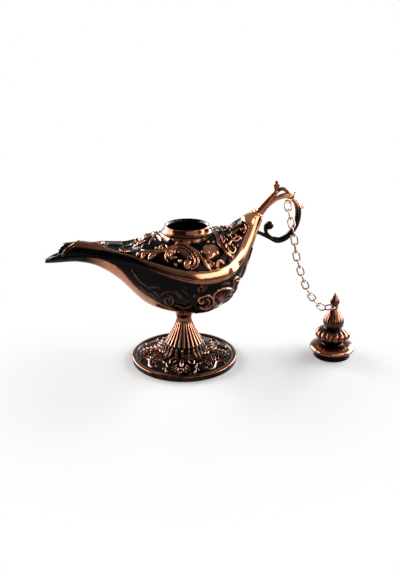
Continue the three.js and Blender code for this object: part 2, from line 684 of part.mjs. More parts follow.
// A round ring bows inside a straight eye, by this much from the middle of the waist to its skin.
const ringBow = END_RING_RADIUS - Math.sqrt(END_RING_RADIUS ** 2 - FINIAL_WAIST_RADIUS ** 2);
const eyeRadius = WIRE_RADIUS + ringBow / 2 + 2 * CHAIN_GAP;

function stopperCap() {
  const spigot = plugRadius - PLUG_WALL - SEAT_GAP;
  const rise = (share) => knobTop + share * FINIAL_HEIGHT;
  const swell = (share) => capTop + share * KNOB_HEIGHT;
  const knob = smooth(
    [
      [KNOB_NECK_RADIUS, swell(0.04)],
      [(KNOB_NECK_RADIUS + KNOB_RADIUS) / 2, swell(0.25)],
      [KNOB_RADIUS, swell(0.58)],
      [(KNOB_NECK_RADIUS + KNOB_RADIUS) / 2, swell(0.88)],
      [0.9 * KNOB_NECK_RADIUS, swell(1)],
    ],
    6,
  );
  const finial = smooth(
    [
      [0.8 * FINIAL_RADIUS, rise(0.03)],
      [FINIAL_RADIUS, rise(0.17)],
      [0.62 * FINIAL_RADIUS, rise(0.4)],
      [FINIAL_WAIST_RADIUS, rise(FINIAL_WAIST_SHARE)],
      [FINIAL_TIP_RADIUS, rise(0.71)],
      [0.6 * FINIAL_TIP_RADIUS, rise(0.86)],
      [0, rise(1)],
    ],
    10,
  );
  const profile = [
    [0, capLow - PLUG_SPIGOT_LENGTH],
    [spigot, capLow - PLUG_SPIGOT_LENGTH],
    [spigot, capLow],
    [CAP_RADIUS - 0.3 * CAP_THICKNESS, capLow],
    [CAP_RADIUS, capLow + 0.35 * CAP_THICKNESS],
    [CAP_RADIUS - 0.2 * CAP_THICKNESS, capLow + 0.7 * CAP_THICKNESS],
    [(CAP_RADIUS + KNOB_NECK_RADIUS) / 2, capTop],
    ...knob,
    ...finial,
  ];
  const lobe = (angle, radius, height) => {
    if (height > capTop && height < knobTop)
      return 1 - KNOB_LOBE_DEPTH * (1 - Math.abs(Math.cos((KNOB_LOBES * angle) / 2)));
    if (height > knobTop && height < rise(0.5))
      return 1 - FINIAL_FLUTE_DEPTH * (1 - Math.abs(Math.cos((FINIAL_FLUTES * angle) / 2)));
    return 1;
  };
  const eye = cylinder(eyeRadius, -KNOB_RADIUS, KNOB_RADIUS, 12).rotateX(Math.PI / 2);
  const cast = solidOf(turned(profile, 2 * KNOB_LOBES, lobe));
  const pierced = cast.subtract(solidOf(eye.translate(0, 0, eyeHeight)));
  return piece("stopper_cap", pierced, materials.copper);
}

function stopperPlug() {
  const inner = plugRadius - PLUG_WALL;
  const profile = [
    [inner, 0],
    [plugRadius - 0.2 * PLUG_WALL, 0],
    [plugRadius, 0.2 * PLUG_WALL],
    [plugRadius, PLUG_HEIGHT],
    [inner, PLUG_HEIGHT],
    [inner, 0],
  ];
  return piece("stopper_plug", solidOf(turned(profile, ROUND_STEPS)), materials.plug);
}

// Chain
const hook = 2 * WIRE_RADIUS + CHAIN_GAP; // between the middles of two hooked wires
const toWorld = (place) => place.clone().addScaledVector(UP, BODY_SEAT);

// The top ring hangs on the loop, square to its bar.
const ringTangent = loopLine.getTangentAt(TOP_RING_PLACE);
const ringDown = new THREE.Vector3().crossVectors(ringTangent, ACROSS);
if (ringDown.z > 0) ringDown.negate();
const ringPlay = TOP_RING_RADIUS - WIRE_RADIUS - ROD_HALF_DEPTH - CHAIN_GAP;
const topRingMiddle = toWorld(loopLine.getPointAt(TOP_RING_PLACE)).addScaledVector(ringDown, ringPlay / 2);
const topHook = topRingMiddle.clone().addScaledVector(ringDown, TOP_RING_RADIUS);

// The end ring goes through the stopper's eye and reaches towards the chain.
const stopperEye = point(...STOPPER_AT, eyeHeight);
const endLean = point(...END_RING_LEAN).normalize();
const endRingMiddle = stopperEye.clone().addScaledVector(endLean, END_RING_RADIUS - ringBow / 2);
const endHook = endRingMiddle.clone().addScaledVector(endLean, END_RING_RADIUS);

// Pivots lie between hooked wires, so the chain's line starts and ends half a hook inside the rings' wires.
const chainPlaces = CHAIN_POINTS.map((place) => point(...place));
const beyond = (wire, next) => wire.clone().addScaledVector(wire.clone().sub(next).normalize(), hook / 2);
const chainLine = new THREE.CatmullRomCurve3(
  [beyond(topHook, chainPlaces[0]), ...chainPlaces, beyond(endHook, chainPlaces.at(-1))],
  false,
  "centripetal",
);
const pivots = chainLine.getSpacedPoints(LINK_COUNT);

// A round wire along a closed curve in the XZ plane, given by its places.
function wireLoop(places) {
  const rings = places.map((place, i) => {
    const before = places[(i + places.length - 1) % places.length];
    const after = places[(i + 1) % places.length];
    const sideways = new THREE.Vector3().crossVectors(ACROSS, after.clone().sub(before).normalize());
    return Array.from({ length: WIRE_SIDES }, (_, k) => {
      const angle = (2 * Math.PI * (k + 0.5)) / WIRE_SIDES;
      return place
        .clone()
        .addScaledVector(sideways, WIRE_RADIUS * Math.cos(angle))
        .addScaledVector(ACROSS, WIRE_RADIUS * Math.sin(angle));
    });
  });
  return solidOf(skin(rings, { looped: true }));
}

// An oval link has straight sides and round ends, and stands along Z.
function ovalPlaces(length) {
  const radius = LINK_WIDTH / 2 - WIRE_RADIUS;
  const straight = length / 2 - WIRE_RADIUS - radius;
  return Array.from({ length: LINK_STEPS }, (_, i) => {
    const angle = (2 * Math.PI * (i + 0.5)) / LINK_STEPS;
    const climb = Math.sin(angle);
    return point(radius * Math.cos(angle), 0, radius * climb + straight * Math.sign(climb));
  });
}

const roundPlaces = (radius) =>
  Array.from({ length: RING_STEPS }, (_, i) => {
    const angle = (2 * Math.PI * (i + 0.5)) / RING_STEPS;
    return point(radius * Math.cos(angle), 0, radius * Math.sin(angle));
  });

// Stands a loop of wire at a place, with its Z along a direction and its flat side towards another.
function hung(mesh, middle, way, facing) {
  const flat = facing.clone().addScaledVector(way, -facing.dot(way)).normalize();
  const right = new THREE.Vector3().crossVectors(flat, way);
  mesh.position.copy(middle);
  mesh.quaternion.setFromRotationMatrix(new THREE.Matrix4().makeBasis(right, flat, way));
  return mesh;
}

// Each piece turns on the one before it, about an axis square to the chain: pivot and axis are kept with the
// piece.
function hinged(mesh, pivot, axis) {
  mesh.userData = { pivot: pivot.toArray(), axis: axis.clone().normalize().toArray() };
  return mesh;
}

function chain() {
  const pitch = chainLine.getLength() / LINK_COUNT;
  const link = wireLoop(ovalPlaces(pitch + hook + 2 * WIRE_RADIUS));
  const topRing = hung(
    piece("top_ring", wireLoop(roundPlaces(TOP_RING_RADIUS)), materials.chain),
    topRingMiddle,
    ringDown,
    ringTangent,
  );
  const pieces = [hinged(topRing, toWorld(loopLine.getPointAt(TOP_RING_PLACE)), ringTangent)];
  for (let i = 0; i < LINK_COUNT; i++) {
    const [from, to] = pivots.slice(i, i + 2);
    const way = to.clone().sub(from).normalize();
    const flat = ACROSS.clone().addScaledVector(way, -ACROSS.dot(way)).normalize();
    const edge = new THREE.Vector3().crossVectors(flat, way);
    const name = `link_${String(i + 1).padStart(2, "0")}`;
    const facing = i % 2 ? edge : flat;
    const mesh = hung(piece(name, link, materials.chain), from.clone().lerp(to, 0.5), way, facing);
    pieces.push(hinged(mesh, from, facing));
  }
  const endFacing = new THREE.Vector3().crossVectors(ACROSS, endLean);
  const endRing = hung(
    piece("end_ring", wireLoop(roundPlaces(END_RING_RADIUS)), materials.chain),
    endRingMiddle,
    endLean,
    endFacing,
  );
  pieces.push(hinged(endRing, pivots[LINK_COUNT], endFacing));
  return pieces;
}

// Assembly
const lamp = new THREE.Group();
lamp.name = "genie_lamp";
lamp.add(pedestalFoot());

const body = new THREE.Group();
body.position.z = BODY_SEAT;
body.add(bowl(), cover(), mouthCollar(), screwWasher(), footScrew(), neckFerrule(), handleScroll());
lamp.add(body);

lamp.add(...chain());

const stopper = new THREE.Group();
stopper.position.set(...STOPPER_AT, 0);
const cap = hinged(stopperCap(), stopperEye, ACROSS);
stopper.add(cap, stopperPlug());
lamp.add(stopper);

export default lamp;
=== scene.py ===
# %% [markdown]
# # A genie lamp incense burner in antiqued copper
# The lamp is a set of thin castings: a round foot with a fluted stem, a boat-shaped bowl, a domed cover with a
# turned mouth, a scroll handle, and a stopper that stands beside it on a chain. All are plated with copper,
# blackened, and rubbed bright again on whatever stands proud. Such ornament could be sculpted by hand. Here each
# casting is a surface worked out with numpy, because a formula can be read, changed and run again. The CAD frame
# holds the true sizes and the joints, and every piece below stands in that frame.

# %% Frame
import json

import bpy
import numpy as np
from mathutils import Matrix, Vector

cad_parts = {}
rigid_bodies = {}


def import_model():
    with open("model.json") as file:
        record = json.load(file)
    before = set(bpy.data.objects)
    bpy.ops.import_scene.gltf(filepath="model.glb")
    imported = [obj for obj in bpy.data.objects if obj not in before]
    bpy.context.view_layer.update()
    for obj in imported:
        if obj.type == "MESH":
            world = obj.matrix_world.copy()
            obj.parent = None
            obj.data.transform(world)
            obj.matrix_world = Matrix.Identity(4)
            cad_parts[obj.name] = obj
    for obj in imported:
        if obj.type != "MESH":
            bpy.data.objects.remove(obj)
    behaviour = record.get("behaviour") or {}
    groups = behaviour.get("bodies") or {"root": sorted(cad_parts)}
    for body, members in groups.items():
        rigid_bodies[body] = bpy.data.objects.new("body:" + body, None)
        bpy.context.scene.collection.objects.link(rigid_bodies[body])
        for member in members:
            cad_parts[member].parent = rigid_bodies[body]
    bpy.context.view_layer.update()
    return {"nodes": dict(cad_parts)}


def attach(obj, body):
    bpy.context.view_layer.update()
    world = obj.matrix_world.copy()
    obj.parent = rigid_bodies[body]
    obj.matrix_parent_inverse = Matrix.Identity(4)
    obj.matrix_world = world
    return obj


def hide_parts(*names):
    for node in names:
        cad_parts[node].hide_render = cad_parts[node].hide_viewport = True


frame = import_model()
MM = 0.001

# %% [markdown]
# ## Camera
# The photograph was taken from a little above, with the lamp's length across the picture. A camera could be set
# by eye, but a fit is surer: the ellipses of the foot and the mouth gave its tilt and its focal length in pixels.
# Blender wants a lens in millimetres, and its sensor lies along the picture's longer side.

# %% Camera
PICTURE_HEIGHT = 570
FOCAL_PIXELS = 774.8
SENSOR = 36
TILT_DOWN = np.radians(20.84)


def tidy(number):
    """A number for print, to two places."""
    return round(float(number), 2)


camera_data = bpy.data.cameras.new("camera")
camera_data.sensor_width = SENSOR
camera_data.lens = SENSOR * FOCAL_PIXELS / PICTURE_HEIGHT
camera = bpy.data.objects.new("camera", camera_data)
camera.location = (0.00737, -0.330, 0.1625)
camera.rotation_euler = (np.pi / 2 - TILT_DOWN, 0, 0)
bpy.context.scene.collection.objects.link(camera)
bpy.context.scene.camera = camera
print("lens:", tidy(camera_data.lens), "mm")

# %% [markdown]
# ## Grids
# Every piece is a grid of points: rows along it, columns round it. Blender's own cylinders are such grids too, but
# one of our own keeps rows and columns in order, so that a formula can lift any point. Quads make it a sheet, or a
# tube with a cap at each end.


# %% Grid faces
def quads_of(rows, columns, round_columns=False):
    """Quads of a grid: corner (r, c), then (r, c + 1), (r + 1, c + 1) and (r + 1, c)."""
    row = np.arange(rows - 1)[:, None]
    column = np.arange(columns if round_columns else columns - 1)[None]
    following = (column + 1) % columns
    corners = [row * columns + column, row * columns + following]
    corners += [(row + 1) * columns + following, (row + 1) * columns + column]
    return np.stack(corners, -1).reshape(-1, 4)


def tube_faces(rows, columns):
    """Faces of a closed tube: the quads round it, and a flat cap at each end."""
    first = list(range(columns))[::-1]
    last = list(range((rows - 1) * columns, rows * columns))
    return quads_of(rows, columns, round_columns=True).tolist() + [first, last]


print("a tube of 5 rows and 8 columns has", len(tube_faces(5, 8)), "faces")

# %% [markdown]
# ## Smooth lines
# Profiles, bars and strokes all start as a few points with a smooth line through them. A Blender curve could carry
# that line. Worked out as an array it can be measured and cut into equal steps, and it bends just as the line in
# the CAD source does. Two more curves are used all through: a smooth step and a bell.


# %% Smooth lines
def flow(points, t, power=0.0):
    """Catmull-Rom line through the points, read at t in steps from point to point. Power 0 spaces the points
    evenly, and 0.5 by the root of their distance."""
    points = np.asarray(points, float)
    p = np.vstack([2 * points[0] - points[1], points, 2 * points[-1] - points[-2]])
    step = np.maximum(np.linalg.norm(np.diff(p, axis=0), axis=1), 1e-9) ** power
    i = np.clip(np.floor(t).astype(int), 0, len(points) - 2)
    w = (t - i)[..., None]
    a, b, c, d = p[i], p[i + 1], p[i + 2], p[i + 3]
    before, here, after = (step[i + k][..., None] for k in range(3))
    leave = here * ((b - a) / before - (c - a) / (before + here) + (c - b) / here)
    arrive = here * ((c - b) / here - (d - b) / (here + after) + (d - c) / after)
    return (
        (2 * w**3 - 3 * w**2 + 1) * b
        + (w**3 - 2 * w**2 + w) * leave
        + (3 * w**2 - 2 * w**3) * c
        + (w**3 - w**2) * arrive
    )


def even_line(points, count, power=0.5):
    """The smooth line through the points, as evenly spaced places."""
    fine = flow(points, np.linspace(0, len(points) - 1, 24 * len(points)), power)
    gone = np.concatenate([[0], np.cumsum(np.linalg.norm(np.diff(fine, axis=0), axis=1))])
    wanted = np.linspace(0, gone[-1], count)
    return np.stack([np.interp(wanted, gone, axis) for axis in fine.T], -1)


def step_up(low, high, value):
    """0 below low, 1 above high, and a smooth S between them."""
    t = np.clip((value - low) / (high - low), 0, 1)
    return t * t * (3 - 2 * t)


def bell(middle, width, value):
    """1 at the middle, falling off on both sides as e to the minus square of the distance in widths."""
    return np.exp(-(((value - middle) / width) ** 2))


print("step and bell halfway out:", tidy(step_up(0, 1, 0.5)), tidy(bell(0, 1, 0.5)))

# %% [markdown]
# ## Shader maths
# A Blender material is a net of nodes, which can be wired by hand in the Shader Editor. In a script that soon gets
# hard to read. So one class wraps a socket and turns plus, minus and times into Math nodes, and the patterns
# below read as plain arithmetic. Every other node comes from one method.


# %% Values
class Value:
    """A socket's value, so that shader maths reads as arithmetic: an operator adds a Math node."""

    def __init__(self, nodes, socket):
        self.nodes, self.socket = nodes, socket

    def maths(self, operation, first, second):
        made = self.nodes.node("ShaderNodeMath", {"operation": operation}, {0: first, 1: second})
        return Value(self.nodes, made.outputs[0])

    def __add__(self, other):
        return self.maths("ADD", self, other)

    def __mul__(self, other):
        return self.maths("MULTIPLY", self, other)

    def __sub__(self, other):
        return self.maths("SUBTRACT", self, other)

    def __rsub__(self, other):
        return self.maths("SUBTRACT", other, self)

    __radd__, __rmul__ = __add__, __mul__

    def between(self, low, high):
        """0 at low and 1 at high, with a smooth S between."""
        settings = {"interpolation_type": "SMOOTHSTEP"}
        made = self.nodes.node("ShaderNodeMapRange", settings, {"Value": self, "From Min": low, "From Max": high})
        return Value(self.nodes, made.outputs[0])


# %% Nodes
class Nodes:
    """A node tree, and one method that adds any node: its settings come first, then its sockets."""

    def __init__(self, tree):
        self.tree = tree

    def node(self, kind, settings=None, sockets=None):
        made = self.tree.nodes.new(kind)
        for name, setting in (settings or {}).items():
            setattr(made, name, setting)
        for name, value in (sockets or {}).items():
            self.put(made.inputs[name], value)
        return made

    def put(self, socket, value):
        value = value.socket if isinstance(value, Value) else value
        if isinstance(value, bpy.types.NodeSocket):
            self.tree.links.new(value, socket)
        else:
            socket.default_value = value

    def mix(self, share, first, second):
        made = self.node("ShaderNodeMix", {"data_type": "RGBA"}, {0: share, 6: first, 7: second})
        return made.outputs[2]


# %% Finishes
class Finish(Nodes):
    """A material with a Principled shader, whose patterns read the piece's own coordinates and marks."""

    def __init__(self, name, **numbers):
        self.material = bpy.data.materials.new(name)
        self.material.use_nodes = True
        super().__init__(self.material.node_tree)
        self.shader = self.tree.nodes["Principled BSDF"]
        for socket, number in numbers.items():
            self.shader.inputs[socket.replace("_", " ")].default_value = number
        self.place = self.node("ShaderNodeTexCoord").outputs["Object"]

    def mark(self, name):
        return Value(self, self.node("ShaderNodeAttribute", {"attribute_name": name}).outputs["Fac"])

    def cloud(self, size, detail=3.0, roughness=0.6):
        """Soft noise from 0 to 1, with spots of about that size in millimetres."""
        sockets = {"Vector": self.place, "Scale": 1 / (size * MM), "Detail": detail, "Roughness": roughness}
        return Value(self, self.node("ShaderNodeTexNoise", None, sockets).outputs["Fac"])

    def bump(self, height, strength, depth):
        sockets = {"Height": height, "Strength": strength, "Distance": depth * MM}
        return self.node("ShaderNodeBump", None, sockets).outputs["Normal"]

    def wear(self, **sockets):
        for name, value in sockets.items():
            self.put(self.shader.inputs[name.replace("_", " ")], value)
        return self.material


# %% [markdown]
# ## Plating
# Antique copper is made by blackening a bright plate and rubbing it back. It could be painted from the surface's
# curvature, but what a polisher's cloth reaches is known here, because each formula knows what it raised. So every
# point carries one number: near 0 in the recesses and 1 on the ridges, where the cloth has rubbed. In a few places
# the same number also paints light: a painted reflection on the cover's spout and band, painted highlights along
# the spout ring's edges, and a painted reflection on the handle's rib and the start of its loop. The shader turns
# it into colour and roughness, and adds the soft clouds and fine grain that polishing leaves.

# %% Antique copper
PATINA = (0.0035, 0.0027, 0.0025, 1)
BROWN = (0.19, 0.067, 0.034, 1)
COPPER = (0.73, 0.325, 0.175, 1)


def antique(name, bright=COPPER, brown=BROWN, dark=PATINA):
    """Patina where rub is low, brown copper halfway and bright copper at 1, with polishing clouds."""
    finish = Finish(name, Metallic=1.0, Coat_Weight=0.07, Coat_Roughness=0.05)
    clouds = finish.cloud(2.2)
    grain = finish.cloud(0.35, 2.0)
    rub_and_sheen = finish.mark("rub_and_sheen") + (clouds - 0.5) * 0.30 + (grain - 0.5) * 0.16
    under = finish.mix(rub_and_sheen.between(0.08, 0.5), dark, brown)
    colour = finish.mix(rub_and_sheen.between(0.42, 0.95), under, bright)
    rough = 0.16 - rub_and_sheen.between(0.2, 0.9) * 0.04 + (grain - 0.5) * 0.08
    return finish.wear(
        Base_Color=colour,
        Roughness=rough,
        Normal=finish.bump(grain * 0.6 + finish.cloud(1.1, 2.0), 0.30, 0.05),
    )


lamp_copper = antique("lamp_copper")
chain_copper = antique("chain_rose_copper", bright=(0.56, 0.34, 0.25, 1), brown=(0.16, 0.08, 0.05, 1))
print("finishes:", lamp_copper.name, chain_copper.name)

# %% [markdown]
# ## Pieces
# A finished piece is a mesh at the origin, with its place in its points. It rides on a body of the frame, so that
# it moves with the joints, and it stands for a CAD node, which is then hidden. One function does all of that, so
# no piece can miss a step.


# %% Pieces
def piece(name, points, faces, node, rub_and_sheen, body="lamp", finish=lamp_copper):
    """A mesh of points in millimetres that rides on a body and stands for a CAD node. The number for rubbed metal and
    painted sheen is kept at each point.
    """
    points = np.asarray(points).reshape(-1, 3)
    mesh = bpy.data.meshes.new(name)
    mesh.from_pydata((points * MM).tolist(), [], faces)
    mark = np.broadcast_to(np.asarray(rub_and_sheen, np.float32).ravel(), len(points))
    mesh.attributes.new("rub_and_sheen", "FLOAT", "POINT").data.foreach_set("value", np.ascontiguousarray(mark))
    mesh.polygons.foreach_set("use_smooth", np.ones(len(mesh.polygons), bool))
    mesh.materials.append(finish)
    shape = bpy.data.objects.new(name, mesh)
    bpy.context.scene.collection.objects.link(shape)
    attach(shape, body)
    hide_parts(node)
    print(name, len(mesh.vertices), "points", len(mesh.polygons), "faces")
    return shape


# %% [markdown]
# ## Relief
# On the real lamp the ornament is cast in one with the shells: cords, reeded scrolls, leaves, pearls and a rose. It
# could be modelled as many small meshes that sink into the shell. Here the shell itself is lifted, so it stays one
# closed skin. A stroke is a line on the surface with a width and a rise, and each point of the grid is lifted by
# the highest stroke near it. Distances are taken in space, so a stroke keeps its width wherever it lies.


# %% Stroke shapes
def stroke_reach(kind, along, turn, width):
    """Half width of a stroke at a share of the way along it. Cords thin out at their ends, a leaf swells as a
    sine with a toothed edge, and a rose has five lobes."""
    if kind == "leaf":
        blade = np.sin(np.pi * np.clip(0.06 + 0.94 * along, 0, 1) ** 0.75) ** 0.7
        return width * blade * (0.86 + 0.14 * np.abs(np.sin(5.5 * np.pi * along)))
    if kind == "pearl":
        return np.full_like(along, width)
    if kind == "rose":
        return width * (0.90 + 0.10 * np.abs(np.sin(2.5 * turn + 2.6)))
    return width * (0.45 + 0.55 * np.clip(np.minimum(along, 1 - along) / 0.1, 0, 1) ** 0.5)


def stroke_height(kind, gap, along, turn, width, rise):
    """Height of a stroke at a distance from its line: half a circle of its reach. A reed has three ridges, a leaf
    a midrib and veins, a rose petals that wind inwards, and a ring is a hollow bead."""
    across = gap / np.maximum(stroke_reach(kind, along, turn, width), 1e-6)
    dome = np.sqrt(np.clip(1 - across**2, 0, 1))
    if kind == "reed":
        dome = dome * (0.80 + 0.20 * np.cos(2 * np.pi * 1.5 * across))
    elif kind == "leaf":
        dome = dome * (1 - 0.45 * bell(0, 0.16, across)) * (0.9 + 0.1 * np.cos(40 * along + 9 * across))
    elif kind == "rose":
        dome = dome**0.7 * (0.55 + 0.45 * np.abs(np.sin(2.5 * turn + 2.6 * across)) ** 0.5)
    elif kind == "ring":
        dome = np.where(across < 1, bell(0.68, 0.24, across), 0)
    return rise * dome


half_cord = stroke_height("cord", np.linspace(0, 0.5, 4), np.full(4, 0.5), 0, 0.5, 0.9)
print("a cord from its middle to its edge:", half_cord.round(2))

# %% Carving
STROKE_STEP = 0.12


def carve(places, strokes):
    """Lift of each place: the highest of all the strokes, each a kind, a width, a rise and a line of points."""
    lift = np.zeros(len(places))
    for kind, width, rise, points in strokes:
        length = np.linalg.norm(np.diff(points, axis=0), axis=1).sum() if len(points) > 1 else 0
        line = even_line(points, max(3, int(length / STROKE_STEP))) if len(points) > 1 else points
        low, high = line.min(0) - width, line.max(0) + width
        near = np.flatnonzero(((places > low) & (places < high)).all(1))
        if len(near) == 0:
            continue
        gaps = np.linalg.norm(places[near][:, None] - line[None], axis=2)
        closest = gaps.argmin(1)
        gap = gaps[np.arange(len(near)), closest]
        along = closest / max(len(line) - 1, 1)
        offset = places[near] - line[closest]
        turn = np.arctan2(offset[:, 1] + offset[:, 2], offset[:, 0])
        lift[near] = np.maximum(lift[near], stroke_height(kind, gap, along, turn, width, rise))
    return lift


print("a pearl in its middle:", carve(np.zeros((1, 3)), [("pearl", 1.0, 0.8, np.zeros((1, 3)))]))

# %% [markdown]
# ## Body
# Bowl and cover are one lofted form, cut along a seam that runs round the lamp. A loft could be drawn as curves
# and skinned, but a table is easier to set right. It gives the sections from the spout's tip to the end of the
# neck: the keel, the crown, how high the seam lies between them, and the half width there. A point on the form has
# two numbers: its station along the table, and its place round the section, which is 0 at the seam in front, 1 on
# the crown or the keel, and 2 at the seam behind.

# %% Sections
STEM_HEIGHT = 24.4
SEAT_GAP = 0.25
BODY_SEAT = STEM_HEIGHT + SEAT_GAP
# keel x and z, crown x and z, share of the way up to the seam, half width
STATIONS = np.array([
    [-62.3, 22.8, -62.0, 25.4, 0.78, 0.9],
    [-58.8, 23.0, -58.3, 28.0, 0.68, 2.5],
    [-54.5, 23.4, -54.3, 30.7, 0.53, 3.5],
    [-47.0, 23.7, -47.3, 33.1, 0.50, 4.4],
    [-38.2, 21.7, -37.5, 32.0, 0.68, 6.0],
    [-28.8, 15.7, -26.0, 32.0, 0.77, 9.4],
    [-16.5, 4.4, -15.0, 35.2, 0.738, 15.0],
    [-2.5, 0.6, -2.5, 37.0, 0.648, 19.4],
    [10.0, 1.4, 9.0, 37.4, 0.586, 20.6],
    [20.8, 7.8, 16.5, 38.2, 0.52, 18.0],
    [26.4, 18.0, 20.8, 39.8, 0.42, 12.6],
    [30.2, 29.0, 24.0, 42.0, 0.34, 7.9],
    [32.9, 37.4, 27.0, 44.8, 0.31, 4.8],
    [34.75, 44.04, 30.45, 47.46, 0.32, 2.75],
])
LAST_STATION = len(STATIONS) - 1
print("body:", STATIONS[-1, 0] - STATIONS[0, 0], "mm from spout to neck")

# %% Body points
SECTION_POWER = 2.25
WALL = 1.4
THINNEST_SHARE = 0.3
UPPER, LOWER = 1, -1


def body_points(station, place, side, inside=False):
    """Points of the cover (UPPER) or the bowl (LOWER). A section is half a superellipse: across goes with the
    cosine of the place's quarter turns, and the climb from the seam with the sine, both to the same power."""
    table = flow(STATIONS, station)
    nothing = np.zeros_like(station)
    keel = np.stack([table[..., 0], nothing, table[..., 1] + BODY_SEAT], -1)
    crown = np.stack([table[..., 2], nothing, table[..., 3] + BODY_SEAT], -1)
    rim, half = table[..., 4], table[..., 5]
    span = np.linalg.norm(crown - keel, axis=-1)
    up = (crown - keel) / span[..., None]
    gap = SEAT_GAP if side == UPPER else 0
    reach = (1 - rim if side == UPPER else rim) * span - gap
    if inside:
        half = np.maximum(half - WALL, THINNEST_SHARE * half)
        reach = np.maximum(reach - WALL, THINNEST_SHARE * reach)
    turn = place * np.pi / 2
    power = 2 / SECTION_POWER
    across = np.sign(np.cos(turn)) * np.abs(np.cos(turn)) ** power * half
    climb = np.maximum(np.sin(turn), 0) ** power * reach
    points = keel + rim[..., None] * (crown - keel) + up * (side * (gap + climb))[..., None]
    points[..., 1] -= across
    return points


print("half width at the mouth:", tidy(-body_points(np.array([7.3]), np.zeros(1), LOWER)[0, 1]), "mm")


# %% Places on the body
def body_grid(side, first, rows, columns):
    """Stations, places and points of a grid on the body, whose rows lie at equal distances along the seam."""
    fine = np.linspace(first, LAST_STATION, 2000)
    seam = body_points(fine, np.zeros_like(fine), LOWER)
    gone = np.concatenate([[0], np.cumsum(np.linalg.norm(np.diff(seam, axis=0), axis=1))])
    stations = np.interp(np.linspace(0, gone[-1], rows), gone, fine)
    station, place = np.meshgrid(stations, np.linspace(0, 2, columns), indexing="ij")
    return station, place, body_points(station, place, side)


def on_body(side, spots):
    """A stroke's line on the body, from pairs of station and place."""
    spots = np.asarray(spots, float).reshape(-1, 2)
    return body_points(spots[:, 0], spots[:, 1], side)


def to_front(points):
    """Points folded to the front half, because the lamp's back mirrors its front."""
    return (points * [1, 0, 1] - np.abs(points * [0, 1, 0])).reshape(-1, 3)


print("dome:", on_body(UPPER, [(7.3, 1.0)]).round(1), "keel below it:", on_body(LOWER, [(7.3, 1.0)]).round(1))

# %% [markdown]
# ## Cover
# The cover is a dome with a sunken panel of scrolls, framed by a smooth band along the seam, a smooth sleeve at the
# neck and a plain spout with one slanted ring. Panel and band could be two sheets. They are one here, as in the
# casting, and a line of stations and places parts them. The strokes inside that line are read off the photograph
# one by one, because no two scrolls on the lamp are alike.

# %% Cover panel
PANEL_EDGE = np.array([
    (3.95, 1.08), (4.05, 0.98), (4.30, 0.62), (4.60, 0.45), (4.88, 0.34), (5.60, 0.165), (6.25, 0.10),
    (7.12, 0.096), (7.56, 0.112), (8.06, 0.131), (8.91, 0.146), (9.99, 0.150), (10.51, 0.196), (11.06, 0.238),
    (11.67, 0.292), (11.80, 0.33),
])
PANEL_END = np.array([(11.84, 0.40), (11.79, 0.55), (11.62, 0.78), (11.50, 1.0), (11.49, 1.08)])
print("panel edge:", len(PANEL_EDGE) + len(PANEL_END), "places")

# %% Spiral and rose
# kind, width, rise, and the line as pairs of station and place
ROSE_SPOT = (8.27, 0.49)
SPIRAL_STROKES = [
    ("cord", 0.50, 0.95, [(6.70, .21), (6.64, .28), (6.63, .37), (6.69, .46), (6.80, .55), (6.94, .6),
        (7.09, .62), (7.25, .61), (7.40, .56), (7.55, .5), (7.68, .42), (7.76, .34), (7.76, .26), (7.65, .19),
        (7.52, .15)]),
    ("cord", 0.50, 1.00, [(6.83, .28), (6.74, .33), (6.72, .4), (6.78, .48), (6.90, .53), (7.06, .56),
        (7.22, .55), (7.37, .5), (7.52, .43), (7.61, .35), (7.64, .28), (7.58, .22), (7.47, .18)]),
    ("cord", 0.45, 0.95, [(6.82, .44), (6.90, .48), (7.04, .5), (7.19, .49), (7.33, .45), (7.44, .39),
        (7.52, .32)]),
    ("leaf", 1.20, 0.80, [(7.07, .46), (7.19, .44), (7.31, .39), (7.38, .33)]),
    ("cord", 0.55, 1.00, [(6.89, .43), (6.81, .4), (6.81, .35), (6.88, .33), (6.98, .33)]),
    ("pearl", 0.90, 1.15, [(6.89, .44)]),
    ("cord", 0.55, 0.95, [(7.46, .18), (7.35, .16), (7.29, .21), (7.31, .27), (7.40, .3), (7.48, .28)]),
    ("pearl", 1.35, 1.30, [(7.40, .24)]),
    ("cord", 0.85, 1.05, [(7.21, .62), (7.39, .59), (7.56, .53), (7.73, .46), (7.89, .37), (8.02, .28),
        (8.14, .2), (8.24, .15)]),
    ("ring", 1.90, 0.90, [(7.11, .27)]),
    ("pearl", 0.75, 1.10, [(7.11, .27)]),
    ("leaf", 0.60, 0.80, [(6.96, .22), (6.98, .14)]),
    ("rose", 4.00, 1.10, [ROSE_SPOT]),
    ("pearl", 0.65, 0.95, [(8.20, .68)]),
    ("pearl", 0.65, 0.95, [(8.48, .66)]),
    ("leaf", 0.80, 0.90, [(8.07, .35), (8.18, .31), (8.29, .28)]),
    ("leaf", 0.80, 0.90, [(8.29, .29), (8.38, .24), (8.42, .18)]),
    ("leaf", 0.70, 0.85, [(8.13, .27), (8.25, .23), (8.34, .17)]),
    ("leaf", 1.10, 1.10, [(8.58, .15), (8.59, .23), (8.72, .27), (8.85, .23), (8.96, .17)]),
]
print("spiral and rose:", len(SPIRAL_STROKES), "strokes")

